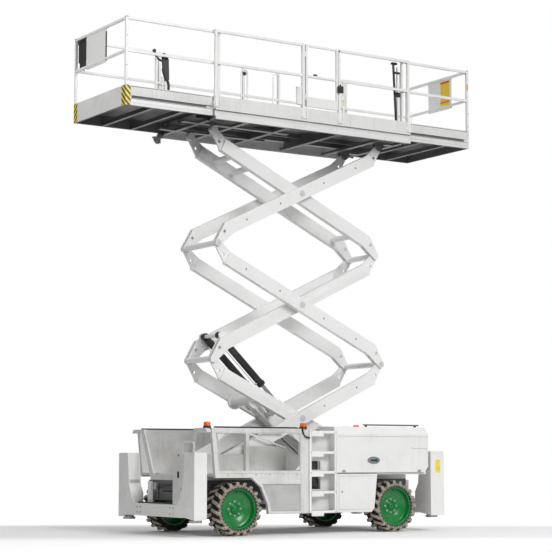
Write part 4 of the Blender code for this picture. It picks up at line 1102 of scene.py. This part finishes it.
# %% Side frames
TRUSS_Y = 1.12
for side, word in SIDES:
    face = side * TRUSS_Y
    out = Vector((0, side, 0))
    low, high = sorted((face - side * 0.012, face + side * 0.003))
    frame_bits = [
        slab([(0.37, 1.478), (0.53, 1.478), (0.37, 1.345)], low, high, "Y", 0.003),
        slab([(1.815, 1.478), (1.66, 1.478), (1.795, 1.36)], low, high, "Y", 0.003),
        slab([(0.37, 0.948), (0.45, 0.948), (0.37, 1.02)], low, high, "Y", 0.003),
    ]
    lip_low, lip_high = sorted((face - side * 0.002, face + side * 0.007))
    frame_bits += [
        plate((0.3, lip_low, 1.5), (1.86, lip_high, 1.512), 0.002),
        plate((0.36, lip_low, 0.905), (1.76, lip_high, 0.918), 0.002),
        plate((0.335, lip_low, 0.33), (0.35, lip_high, 0.9), 0.002),
        plate((0.22, lip_low, 0.318), (0.88, lip_high, 0.332), 0.002),
        plate((0.36, lip_low, 0.745), (1.02, lip_high, 0.757), 0.002),
    ]
    settle(frame_bits, f"truss_gussets_{word}", "base", worn_enamel)
    sheet_low, sheet_high = sorted((face - side * 0.014, face - side * 0.01))
    sheet = slab(
        [(0.363, 0.353), (0.876, 0.353), (0.896, 0.46), (1.022, 0.737), (0.363, 0.737)], sheet_low,
        sheet_high,
    )
    settle(sheet, f"perforated_panel_{word}", "base", perforated)
    rivets = []
    for x in (0.42, 0.66, 0.9, 1.14, 1.38, 1.62):
        rivets.append(bolt((x, face, 0.885), out, 0.008, 0.005))
        rivets.append(bolt((x, face, 1.532), out, 0.007, 0.004, False))
    settle(rivets, f"truss_screws_{word}", "base", zinc)
    hose = [
        pipe(
            [(1.84, side * 1.088, 1.572), (0.42, side * 1.088, 1.572), (0.36, side * 1.088, 1.563)], 0.011,
            0.02,
        ),
    ]
    if side > 0:
        hose.append(
            pipe(
                [(0.33, 1.125, 1.585), (0.325, 1.137, 1.5), (0.28, 1.137, 1.435), (0.2, 1.137, 1.425)],
                0.012, 0.04,
            ),
        )
    settle(hose, f"top_conduit_{word}", "base", black_plastic)
post = [
    plate((0.955, 0.585, 0.905), (1.015, 0.64, 1.54), 0.004),
    plate((0.3, 0.58, 1.5), (1.88, 0.6, 1.545), 0.004),
    slab([(0.3, 1.3), (0.98, 1.52), (0.98, 1.49), (0.3, 1.27)], 0.585, 0.6, "Y", 0.003),
]
settle(post, "inner_truss", "base", worn_enamel)
panel = [
    plate((0.26, 0.572, 0.905), (0.955, 0.584, 1.3), 0.003),
    plate((1.015, 0.572, 0.905), (1.7, 0.584, 1.18), 0.003),
]
settle(panel, "splash_panels", "base", stained)

# %% [markdown]
# ## Outriggers
# The legs slide in box housings on a cross beam at each end. A thin grey strip along the inner side of a
# housing is painted shade, ribs stiffen its front, and the leg ends in a black foot pad with a brass pin.
# Each rear housing carries one yellow warning label on its outer side.

# %% Outriggers
LEG_Y, BEAM_Z, PIPE_Z = 1.0, 0.36, 0.462
ENDS = {"front": (1.99, 2.2, 1.2, 2.09, 1), "rear": (-2.34, -2.08, 1.225, -2.2, -1)}
for end, (x_low, x_high, top, leg_x, face) in ENDS.items():
    nose = x_high if face > 0 else x_low
    for side, word in SIDES:
        low, high = sorted((side * 0.875, side * 1.135))
        cap = [plate((x_low + 0.008, low, top - 0.001), (x_high - 0.008, high, top + 0.005), 0.002)]
        for x in (x_low + 0.03, x_high - 0.03):
            cap += [bolt((x, side * y, top + 0.004), (0, 0, 1), 0.008, 0.005) for y in (1.1, 0.91)]
        settle(cap, f"housing_cap_{end}_{word}", "base", enamel)
        inner = sorted((side * 0.8225, side * 0.8265))
        # Painted shade: a thin grey strip on the housing's inner side.
        wear = plate((x_low + 0.02, inner[0], 0.74), (x_high - 0.02, inner[1], 0.8), 0.001)
        settle(wear, f"housing_shade_strip_{end}_{word}", "base", painted_shade_grey)
        lips = sorted((nose - face * 0.001, nose + face * 0.006))
        ribs = []
        for y in (0.905, 0.955, 1.005, 1.055, 1.105):
            at = sorted((side * (y - 0.005), side * (y + 0.005)))
            ribs.append(plate((lips[0], at[0], 0.42), (lips[1], at[1], top - 0.04), 0.002))
        settle(ribs, f"housing_ribs_{end}_{word}", "base", enamel)
        pad = lathe(
            [
                (0.0, 0.0), (0.085, 0.0), (0.093, 0.006), (0.093, 0.016), (0.08, 0.022), (0.045, 0.028),
                (0.045, 0.05), (0.0, 0.05),
            ],
            (leg_x, side * LEG_Y, 0.2015),
            (0, 0, 1),
            36,
        )
        leg = f"leg_{end}_{word}"
        settle(pad, f"foot_pad_{end}_{word}", leg, black_plastic)
        pin = round_stock(
            (leg_x - 0.062, side * LEG_Y, 0.2425), (leg_x + 0.062, side * LEG_Y, 0.2425), 0.01, 16,
        )
        settle(soften(pin, 0.002), f"foot_pin_{end}_{word}", leg, brass)
    spots = [
        (nose + face * 0.001, y, BEAM_Z + dz) for y in (-0.55, -0.45, 0.45, 0.55) for dz in (-0.04, 0.04)
    ]
    bolts = [bolt(spot, (face, 0, 0), 0.01, 0.007) for spot in spots]
    settle(bolts, f"beam_bolts_{end}", "base", zinc)
    gussets = []
    for side in (1, -1):
        low, high = (nose - 0.016, nose - 0.004) if face > 0 else (nose + 0.004, nose + 0.016)
        gussets.append(
            slab(
                [(side * 0.745, 0.445), (side * 0.62, 0.445), (side * 0.745, 0.56)], low, high, "X", 0.002,
            ),
        )
    settle(gussets, f"beam_gussets_{end}", "base", enamel)
    pipes = [
        pipe([(x, -0.74, PIPE_Z), (x, 0.74, PIPE_Z)], 0.009, 0.0) for x in (x_low + 0.05, x_low + 0.08)
    ]
    settle(pipes, f"outrigger_pipes_{end}", "base", black_paint)
for side, word in SIDES:
    low, high = sorted((side * 1.145, side * 1.1475))
    notice = plate((-2.265, low, 0.9), (-2.175, high, 1.1), 0.0008)
    settle(notice, f"warning_label_{word}", "base", yellow_label)

# %% [markdown]
# ## Nose
# Between the front housings stand a control cabinet with a ribbed door, and a bent guard tube. The portal
# behind them is a tub of thick plate with a rolled rim, and black hydraulic pipes cross it past two valve
# blocks.

# %% Nose
# The nose pieces use the greyer enamel, which is painted shade.
ribs = [
    plate((2.187, y - 0.006, 0.52), (2.193, y + 0.006, 1.14), 0.002)
    for y in (0.53, 0.565, 0.6, 0.635, 0.67, 0.705)
]
settle(ribs, "cabinet_ribs", "base", nose_shade_enamel)
filler = slab([(0.737, 0.7), (0.812, 0.7), (0.856, 1.195), (0.737, 1.195)], 2.17, 2.186, "X", 0.003)
settle(filler, "cabinet_filler", "base", nose_shade_enamel)
fitting = [
    plate((2.187, 0.655, 0.84), (2.203, 0.69, 0.93), 0.004),
    bolt((2.19, 0.672, 1.165), (1, 0, 0), 0.01, 0.006),
]
settle(fitting, "cabinet_handle", "base", black_plastic)
guard = [
    pipe(
        [(2.006, 0.47, 0.56), (2.006, 0.47, 1.36), (2.006, 0.8, 1.36), (2.006, 0.8, 1.16)], 0.017, 0.05, 6,
    ),
    plate((1.9985, 0.44, 0.5), (2.014, 0.5, 0.57), 0.002),
]
settle(guard, "hose_guard", "base", enamel)
rim = [
    pipe(
        [(1.979, side * 0.8, 1.545), (1.979, side * 0.482, 0.845), (1.979, 0.0, 0.845)], 0.01, 0.06,
    ) for side in (1, -1)
]
settle(rim, "portal_rim", "base", worn_enamel)
lines = [
    pipe(
        [(1.996, y, 0.52), (1.996, y, 0.74), (1.996, -0.25, 0.74 - k * 0.03), (1.996, -0.25, 0.52)], 0.009,
        0.05,
    )
    for k, y in enumerate((0.3, 0.3 + 0.035, 0.3 + 2 * 0.035))
]
settle(lines, "nose_pipes", "base", black_paint)
blocks = [
    plate((1.988, -0.36, 0.66), (2.03, -0.27, 0.76), 0.004),
    plate((1.988, 0.22, 0.5), (2.03, 0.29, 0.58), 0.004),
]
settle(blocks, "valve_blocks", "base", zinc)

# %% [markdown]
# ## Running gear
# Under the frame, the axles carry differentials, brake lines and a track rod, and a transfer shaft runs
# between the two differentials. They are dirty and mostly in the dark, so simple turned and bent parts are
# enough.

# %% Running gear
for end, x, face in (("front", AXLE_X, 1), ("rear", -AXLE_X, -1)):
    lumps = [
        lathe(
            [(0.0, -0.13), (0.1, -0.11), (0.135, -0.04), (0.135, 0.04), (0.1, 0.11), (0.0, 0.13)],
            (x, 0.0, TYRE_RADIUS), (0, 1, 0), 32,
        ),
        lathe(
            [
                (0.0, 0.1), (0.06, 0.1), (0.075, 0.14), (0.075, 0.17), (0.045, 0.19), (0.045, 0.25),
                (0.0, 0.25),
            ],
            (x, 0.0, TYRE_RADIUS), (-face, 0, 0), 24,
        ),
    ]
    for step in range(10):
        turn = math.tau * step / 10
        spot = Vector((x + 0.118 * math.cos(turn), 0.085, TYRE_RADIUS + 0.118 * math.sin(turn)))
        lumps.append(bolt(spot - Vector((0, 0.012, 0)), (0, 1, 0), 0.01, 0.012, False))
    settle(lumps, f"differential_{end}", "base", road_dirt)
    hose = [pipe([(x - face * 0.06, -0.55, PIPE_Z), (x - face * 0.06, 0.55, PIPE_Z)], 0.008, 0.0)]
    settle(hose, f"brake_line_{end}", "base", zinc)
shaft = [round_stock((1.16, 0.0, TYRE_RADIUS), (-1.16, 0.0, TYRE_RADIUS), 0.032, 24)]
for x in (1.15, -1.15, 0.0):
    joint = round_stock((x - 0.05, 0.0, TYRE_RADIUS), (x + 0.05, 0.0, TYRE_RADIUS), 0.055, 24)
    shaft.append(soften(joint, 0.006))
settle(shaft, "transfer_shaft", "base", chassis_black)
steering = [pipe([(1.25, -0.5, 0.4), (1.25, 0.5, 0.4)], 0.016, 0.0)]
settle(steering, "track_rod", "base", road_dirt)
spots = [side * (0.385 - k * 0.028) for side in (1, -1) for k in range(3)]
lines = [pipe([(1.86, y, 0.63), (-1.92, y, 0.63)], 0.009, 0.0) for y in spots]
settle(lines, "frame_pipes", "base", black_paint)

# %% [markdown]
# ## Engine
# Under the right hood sits a small diesel. Its rocker cover, cooling fins, air cleaner, fan guard and
# exhaust are what a fitter sees with the hood open. They keep inside the closed hood. The oil tank stands
# under the left hood.

# %% Engine
refined("engine_block", "base", engine_grey, 0.008)
top = [plate((-1.62, -0.9, 1.4), (-1.05, -0.74, 1.455), 0.012)]
top += [plate((-1.6 + k * 0.075, -0.91, 1.452), (-1.585 + k * 0.075, -0.73, 1.47), 0.003) for k in range(8)]
settle(top, "rocker_cover", "base", chassis_black)
fins = [plate((-1.74, -1.03, 0.98 + k * 0.05), (-0.76, -1.019, 0.995 + k * 0.05), 0.002) for k in range(8)]
settle(fins, "cooling_fins", "base", chassis_black)
cleaner = lathe(
    [(0.0, 0.0), (0.07, 0.0), (0.078, 0.01), (0.078, 0.3), (0.06, 0.33), (0.0, 0.33)], (-0.98, -0.83, 1.49),
    (1, 0, 0), 32,
)
settle(cleaner, "air_cleaner", "base", black_plastic)
fan = [lathe([(0.15, 0.0), (0.16, 0.0), (0.16, 0.02), (0.15, 0.02)], (-0.748, -0.82, 1.16), (1, 0, 0), 40)]
hub = Vector((-0.735, -0.82, 1.16))
for step in range(12):
    turn = math.tau * step / 12
    spoke = Vector((0, math.cos(turn), math.sin(turn)))
    fan.append(pipe([hub + spoke * 0.03, hub + spoke * 0.155], 0.003, 0.0, 2))
fan.append(round_stock((-0.748, -0.82, 1.16), (-0.728, -0.82, 1.16), 0.035, 20))
settle(fan, "fan_guard", "base", zinc)
exhaust = pipe(
    [(-1.7, -0.7, 1.4), (-1.7, -0.7, 1.5), (-1.88, -0.7, 1.5), (-1.88, -0.7, 1.2)], 0.026, 0.06, 5,
)
settle(exhaust, "exhaust", "base", zinc)
tank = plate((-1.7, 0.64, 0.9055), (-0.6, 1.02, 1.38), 0.03)
settle(tank, "oil_tank", "base", enamel)
filler = lathe(
    [(0.0, 0.0), (0.04, 0.0), (0.04, 0.02), (0.034, 0.03), (0.0, 0.03)], (-1.45, 0.84, 1.38), (0, 0, 1), 28,
)
settle(filler, "oil_filler", "base", black_plastic)

# %% [markdown]
# ## Scissor arms
# Every pivot has a keeper with a bolt, so that the pin can't turn or walk out, on a round washer of bearing
# plate. Each outer beam also shows four drain holes as thin dark discs: painted shade, not openings. A pin's
# head belongs to the arm that holds the pin, so it turns with that arm.

# %% Scissor arms
PIN_SPAN, ARM_ANGLE, PIN_OFFSET = 3.49, math.radians(30.0), 0.13
RUN_X, RISE_Z = PIN_SPAN * math.cos(ARM_ANGLE), PIN_SPAN * math.sin(ARM_ANGLE)
REAR_X, BASE_Z = -1.59, 0.86
ARM_SKIN_Y = 0.5305
FRONT_X = REAR_X + RUN_X


def keeper(spot, side, radius):
    """A bearing washer with the pin's end, and the keeper's bolt."""
    out = Vector((0, side, 0))
    ring = lathe(
        [
            (0.0, 0.0), (radius, 0.0), (radius, 0.003), (radius * 0.62, 0.004), (radius * 0.6, 0.006),
            (0.0, 0.006),
        ],
        spot, out, 28,
    )
    return [ring, bolt(Vector(spot) + out * 0.0055, out, radius * 0.28, 0.0025, False)]


for stage in (1, 2, 3):
    low_z = BASE_Z + (stage - 1) * RISE_Z
    mid = (REAR_X + RUN_X / 2, low_z + RISE_Z / 2)
    low_x, high_x = (REAR_X, FRONT_X) if stage == 2 else (FRONT_X, REAR_X)
    centre, ends, holes = [], [], []
    for side in (1, -1):
        centre += keeper((mid[0], side * ARM_SKIN_Y, mid[1]), side, 0.05)
        if stage > 1:
            ends += keeper((low_x, side * ARM_SKIN_Y, low_z), side, 0.044)
        along = Vector((high_x - low_x, 0, RISE_Z)).normalized()
        rise = Vector((-along.z, 0, along.x))
        if rise.z < 0:
            rise = -rise
        start = Vector((low_x, side * 0.5302, low_z))
        out = Vector((0, side, 0))
        for reach in (0.62, 1.3, 2.2, 2.88):
            spot = start + along * reach + rise * PIN_OFFSET * (1.0 - reach / (PIN_SPAN / 2))
            # Painted shade: a thin dark disc for each drain hole.
            holes.append(soften(round_stock(spot - out * 0.001, spot + out * 0.0012, 0.014, 20), 0.0005, 1))
    settle(centre, f"centre_keepers_{stage}", f"arm_{stage}_inner_body", pin_steel)
    if ends:
        settle(ends, f"end_keepers_{stage}", f"arm_{stage}_outer_body", pin_steel)
    settle(holes, f"drain_hole_shade_{stage}", f"arm_{stage}_outer_body", seam_dark)

# %% [markdown]
# ## Lift cylinders
# Two main rams push between the first and second stages, and a light ram follows below. A gland nut closes
# each barrel, a collar rings it near its head, and a hard pipe carries oil from the port at the head down
# to the gland.

# %% Lift cylinders
def ram(head, foot, y, barrel_length, radius, rod_radius, name, body, paint):
    """The gland, collar, ports and pipe of a cylinder that runs from its head pin to its rod's pin."""
    head, foot = Vector((head[0], y, head[1])), Vector((foot[0], y, foot[1]))
    along = (foot - head).normalized()
    up = Vector((-along.z, 0, along.x))
    mouth = head + along * barrel_length
    bore = rod_radius + 0.0012
    gland = [
        lathe(
            [
                (bore, -0.004), (radius + 0.006, -0.05), (radius + 0.01, -0.046), (radius + 0.01, 0.0),
                (radius - 0.004, 0.01), (bore + 0.006, 0.014), (bore, 0.01),
            ],
            mouth,
            along,
            32,
        )
    ]
    collar = [
        (radius + 0.0005, 0.0), (radius + 0.007, 0.002), (radius + 0.007, 0.026), (radius + 0.0005, 0.028),
    ]
    gland.append(lathe(collar, head + along * 0.13, along, 32))
    settle(gland, f"gland_{name}", body, paint)
    ports = []
    for reach in (0.16, barrel_length - 0.08):
        port = head + along * reach + up * (radius - 0.002)
        ports.append(round_stock(port, port + up * 0.022, 0.013, 12))
        ports.append(soften(round_stock(port + up * 0.018, port + up * 0.03, 0.016, 6), 0.002, 1))
    first = head + along * 0.16 + up * (radius + 0.022)
    last = head + along * (barrel_length - 0.08) + up * (radius + 0.022)
    ports.append(pipe([first, first + up * 0.01, last + up * 0.01, last], 0.006, 0.008))
    settle(ports, f"ram_pipe_{name}", body, zinc)


for word, y in (("left", 0.21), ("right", -0.21)):
    ram(
        (1.22893, 2.97653), (0.02313, 1.82598), y, 1.06, 0.055, 0.03, f"upper_{word}", "upper_barrels",
        black_paint,
    )
ram((0.5165, 1.89144), (-1.15, 0.55), 0.0, 0.62, 0.038, 0.02, "lower", "lower_barrel_body", enamel)

# %% [markdown]
# ## Deck edges
# The decks roll in guides rolled from channel. Thin painted strips give the edge its bands: a dark line of
# painted shadow under each lip, a grey strip of painted shade in the slot where the rollers run, and a grey
# line of painted shade where the lower flange slopes. The end panel's corners carry black and yellow tape
# that leans outwards at both sides.

# %% Deck edges
for name, body, x_out, x_in, face in (
    ("front", "front_deck", 3.2, 1.76, 1), ("rear", "rear_deck", -3.2, -1.97, -1),
):
    low, high = sorted((x_out - face * 0.032, x_in))
    bands, slots, lower = [], [], []
    for side in (1, -1):
        a, b = sorted((side * 0.8295, side * 0.8312))
        # Painted shadow: dark lines under the lips.
        bands.append(stock((low, a, 6.47), (high, b, 6.479)))
        bands.append(stock((low, a, 6.288), (high, b, 6.294)))
        # Painted shade: a dark grey strip in the roller slot.
        c, d = sorted((side * 0.8118, side * 0.8135))
        slots.append(stock((low + 0.07, c, 6.301), (high - 0.002, d, 6.338)))
        # Painted shade: a grey line where the lower flange slopes.
        lower.append(stock((low, a, 6.236), (high, b, 6.24)))
    settle(bands, f"lip_shadow_{name}", body, seam_dark)
    settle(slots, f"roller_slot_shade_{name}", body, dark_grey)
    settle(lower, f"flange_shade_line_{name}", body, painted_shade_grey)
for side, tape in ((1, tape_left), (-1, tape_right)):
    word = "left" if side > 0 else "right"
    a, b = sorted((side * 0.715, side * 0.8325))
    c, d = sorted((side * 0.8295, side * 0.8325))
    corner = [stock((3.1995, a, 6.197), (3.202, b, 6.489)), stock((3.115, c, 6.197), (3.202, d, 6.489))]
    settle(corner, f"hazard_tape_{word}", "front_deck", tape)

# %% [markdown]
# ## Underside
# A hook hangs under the main deck's front right corner, and rubber stops wait where the extensions come
# home.

# %% Underside
bracket = [
    slab([(1.7, 6.135), (1.81, 6.135), (1.79, 6.08), (1.75, 6.035), (1.7, 6.035)], y, y + 0.01, "Y", 0.003)
    for y in (-0.87, -0.81)
]
bracket.append(round_stock((1.735, -0.878, 6.065), (1.735, -0.792, 6.065), 0.012, 16))
bracket.append(plate((1.66, -0.875, 6.12), (1.82, -0.795, 6.1395), 0.003))
settle(bracket, "deck_hook", "platform", under_grey)
stops = []
for x, face in ((1.705, 1), (-1.915, -1)):
    for y in (-0.7, 0.7):
        stops.append(soften(round_stock((x, y, 6.165), (x + face * 0.028, y, 6.165), 0.026, 20), 0.004))
settle(stops, "rubber_stops", "platform", black_plastic)

# %% [markdown]
# ## Guard rails
# The rails plug into sockets. At every foot sits a U-shaped grab that keeps hands off the slides, each
# joint in the rails has a sleeve, and plastic caps with screws close the extensions' corners.

# %% Guard rails
RAIL_Y, EXTENSION_RAIL_Y = 0.864, 0.812
for node, body in (
    ("rail_left_front", "platform"),
    ("rail_left_rear", "platform"),
    ("rail_right", "platform"),
    ("front_extension_rails", "front_deck"),
    ("rear_extension_rails", "rear_deck"),
):
    refined(node, body, enamel, 0.005)
sockets, grabs, caps, clamps = [], [], [], []
for side in (1, -1):
    for x in (1.7, 0.13, -0.55, -1.91):
        y = side * RAIL_Y
        low_x = x - (0.0195 if x == 0.13 else 0.026)
        high_x = x + (0.0195 if x == -0.55 else 0.026)
        sockets.append(plate((low_x, y - 0.0255, 6.4855), (high_x, y + 0.0255, 6.6), 0.004))
        sockets.append(bolt((x, side * 0.889, 6.555), (0, side, 0), 0.009, 0.006, False))
        near, far = sorted((side * 0.878, side * 0.906))
        sockets.append(plate((low_x, near, 6.33), (high_x, far, 6.5), 0.006))
        out = side * 0.908
        back, front, inner = x - 0.05, x + 0.05, side * 0.895
        bent = [
            (back, inner, 6.66), (back, out, 6.4), (back, out, 6.325), (front, out, 6.325),
            (front, inner, 6.4),
        ]
        grabs.append(pipe(bent, 0.007, 0.028, 4))
        clamps.append(plate((low_x + 0.001, y - 0.024, 6.985), (high_x - 0.001, y + 0.024, 7.018), 0.004))
        caps.append(plate((low_x + 0.001, y - 0.024, 7.476), (high_x - 0.001, y + 0.024, 7.504), 0.004))
settle(sockets, "rail_sockets", "platform", enamel)
settle(grabs, "rail_grabs", "platform", enamel)
settle(caps, "rail_caps", "platform", enamel)
settle(clamps, "rail_clamps", "platform", enamel)
for name, body, x in (("front", "front_deck", 3.181), ("rear", "rear_deck", -3.181)):
    plugs = []
    for side in (1, -1):
        y = side * EXTENSION_RAIL_Y
        plugs.append(plate((x - 0.021, y - 0.021, 7.494), (x + 0.021, y + 0.021, 7.506), 0.003))
        for z in (6.56, 6.78, 7.22):
            plugs.append(bolt((x, side * 0.831, z), (0, side, 0), 0.007, 0.004, False))
    settle(plugs, f"corner_caps_{name}", body, grey_plastic)

# %% [markdown]
# ## Deck fittings
# The gate has a black latch box and a green-yellow tag. A white document box hangs under the middle rail,
# two loops stand on the floor's edge, and a strut and a lock lever serve the extensions. The rear panel has
# a yellow notice with two red bars, and the corner post a small orange sticker.

# %% Deck fittings
LOOP_Y, LEVER_Y, FLOOR_TOP_Z = 0.893, 0.74, 6.387
latch = [
    plate((-0.6, 0.885, 6.8), (-0.505, 0.925, 6.905), 0.006),
    plate((-0.57, 0.92, 6.825), (-0.53, 0.938, 6.87), 0.005),
    round_stock((-0.552, 0.905, 6.9), (-0.552, 0.905, 6.935), 0.01, 16),
    plate((-0.56, 0.884, 7.455), (-0.535, 0.89, 7.475), 0.001),
]
settle(latch, "gate_latch", "platform", black_plastic)
tag_plate = [plate((-0.635, 0.8805, 6.57), (-0.575, 0.8835, 6.76), 0.001)]
settle(tag_plate, "gate_tag_plate", "platform", enamel)
tag = plate((-0.63, 0.883, 6.61), (-0.59, 0.885, 6.7), 0.0006)
settle(tag, "gate_tag", "platform", green_tag)
catch = plate((-0.13, 0.848, 7.0155), (-0.07, 0.88, 7.045), 0.004)
settle(catch, "gate_catch", "gate", black_plastic)
box_bits = [
    plate((0.19, 0.8845, 6.52), (0.275, 0.93, 6.79), 0.008),
    plate((0.186, 0.8845, 6.775), (0.279, 0.934, 6.8), 0.004),
]
settle(box_bits, "document_box", "platform", enamel)
loops = []
for x in (1.215, 0.64):
    low, high = x - 0.055, x + 0.055
    bent = [(low, LOOP_Y, 6.48), (low, LOOP_Y, 6.945), (high, LOOP_Y, 6.945), (high, LOOP_Y, 6.48)]
    loops.append(pipe(bent, 0.0125, 0.05, 5))
settle(loops, "deck_loops", "platform", enamel)
pads = [soften(round_stock((1.215, 0.884, 6.885), (1.215, 0.906, 6.885), 0.03, 24), 0.003)]
settle(pads, "loop_pads", "platform", black_plastic)
strut = [
    pipe([(-1.7, 0.757, 7.45), (-1.755, 0.757, FLOOR_TOP_Z)], 0.019, 0.0, 5),
    plate((-1.77, 0.735, 7.43), (-1.665, 0.779, 7.465), 0.006),
    plate((-1.83, 0.735, 6.386), (-1.71, 0.779, 6.415), 0.006),
    plate((-1.825, 0.745, 7.285), (-1.7, 0.7935, 7.31), 0.004),
    plate((-1.825, 0.745, 6.905), (-1.725, 0.7935, 6.975), 0.004),
]
settle(strut, "rear_deck_strut", "rear_deck", black_plastic)
channel = [
    plate((-1.8, 0.735, FLOOR_TOP_Z), (-1.772, 0.765, 7.4), 0.004),
    plate((-1.85, 0.74, FLOOR_TOP_Z), (-1.835, 0.78, 7.3), 0.003),
]
settle(channel, "strut_channel", "rear_deck", enamel)
handle = [
    pipe(
        [(2.68, LEVER_Y, 7.075), (2.65, LEVER_Y, 6.985), (2.58, LEVER_Y, 6.935), (2.5, LEVER_Y, 6.945)],
        0.015, 0.04, 5,
    ),
    soften(round_stock((2.68, 0.72, 7.075), (2.68, 0.76, 7.075), 0.024, 24), 0.004),
    slab(
        [(2.555, 7.0), (2.475, 7.02), (2.44, 6.97), (2.43, 6.66), (2.5, 6.64), (2.54, 6.8)], 0.725, 0.755,
        "Y", 0.006,
    ),
    pipe(
        [
            (2.535, LEVER_Y, 6.82), (2.51, LEVER_Y, 6.72), (2.435, LEVER_Y, 6.62),
            (2.44, LEVER_Y, FLOOR_TOP_Z),
        ],
        0.02, 0.05, 5,
    ),
    soften(round_stock((2.52, 0.72, 7.035), (2.52, 0.76, 7.035), 0.022, 24), 0.004),
]
settle(handle, "deck_lock_lever", "front_deck", black_plastic)
stand = [
    pipe([(2.65, LEVER_Y, FLOOR_TOP_Z), (2.65, LEVER_Y, 6.975)], 0.017, 0.0, 5),
    pipe([(2.54, LEVER_Y, FLOOR_TOP_Z), (2.54, LEVER_Y, 6.7)], 0.016, 0.0, 5),
    plate((2.4, 0.715, 6.3858), (2.69, 0.765, 6.394), 0.002),
]
settle(stand, "lever_stand", "front_deck", enamel)
board = plate((-3.1885, 0.13, 6.99), (-3.1865, 0.37, 7.44), 0.0006)
settle(board, "rear_notice", "rear_deck", notice_label)
inside = plate((-3.1745, 0.13, 6.99), (-3.1725, 0.37, 7.44), 0.0006)
settle(inside, "rear_notice_inside", "rear_deck", notice_label)
sticker = plate((-3.195, 0.8308, 7.17), (-3.168, 0.8322, 7.28), 0.0004)
settle(sticker, "post_sticker", "rear_deck", orange_label)
edge = plate((3.172, 0.168, 6.97), (3.19, 0.186, 7.42), 0.003)
settle(edge, "panel_edge", "front_deck", black_plastic)

# %% [markdown]
# ## Platform controls
# The control box hangs inside the front rail. It has a sloped face with a joystick, rows of rocker
# switches, a red stop button on a yellow ring, and a short lead in a conduit that goes to the panel.

# %% Platform controls
refined("control_console", "front_deck", black_plastic, 0.006)
slope_top, slope_low = Vector((3.0617, 0.0, 7.47)), Vector((2.9417, 0.0, 7.24))
down = (slope_low - slope_top).normalized()
out = Vector((down.z, 0.0, -down.x))
if out.x > 0:
    out = -out


def on_panel(y, reach):
    return slope_top + down * reach + Vector((0, y, 0))


switches = []
for spot in [on_panel(-0.74 + k * 0.045, reach) for k in range(4) for reach in (0.06, 0.11)]:
    switches.append(soften(round_stock(spot, spot + out * 0.012, 0.013, 4), 0.002, 1))
settle(switches, "console_switches", "front_deck", grey_plastic)
spot = on_panel(-0.56, 0.16)
boot = lathe(
    [(0.0, 0.0), (0.036, 0.0), (0.03, 0.014), (0.018, 0.028), (0.01, 0.034), (0.01, 0.075), (0.0, 0.075)],
    spot, out, 28,
)
knob = lathe(
    [(0.0, 0.07), (0.016, 0.072), (0.022, 0.086), (0.022, 0.112), (0.012, 0.124), (0.0, 0.124)], spot, out,
    28,
)
settle([boot, knob], "console_joystick", "front_deck", black_plastic)
spot = on_panel(-0.7, 0.18)
ring = lathe([(0.0, 0.0), (0.032, 0.0), (0.032, 0.004), (0.0, 0.004)], spot, out, 28)
settle(ring, "stop_ring", "front_deck", yellow_label)
stop = lathe(
    [
        (0.0, 0.004), (0.014, 0.004), (0.014, 0.018), (0.024, 0.02), (0.024, 0.03), (0.018, 0.036),
        (0.0, 0.037),
    ],
    spot, out, 28,
)
settle(stop, "stop_button", "front_deck", red_plastic)
lead = [
    pipe(
        [(3.02, -0.64, 7.13), (3.02, -0.64, 7.07), (3.135, -0.64, 7.06), (3.135, -0.64, 6.985)], 0.012,
        0.03, 5,
    ),
    plate((3.1, -0.8, 7.405), (3.16, -0.77, 7.47), 0.004),
    plate((3.06, -0.6, 7.44), (3.12, -0.52, 7.492), 0.008),
]
settle(lead, "console_lead", "front_deck", black_plastic)
print("details done", len(MADE))
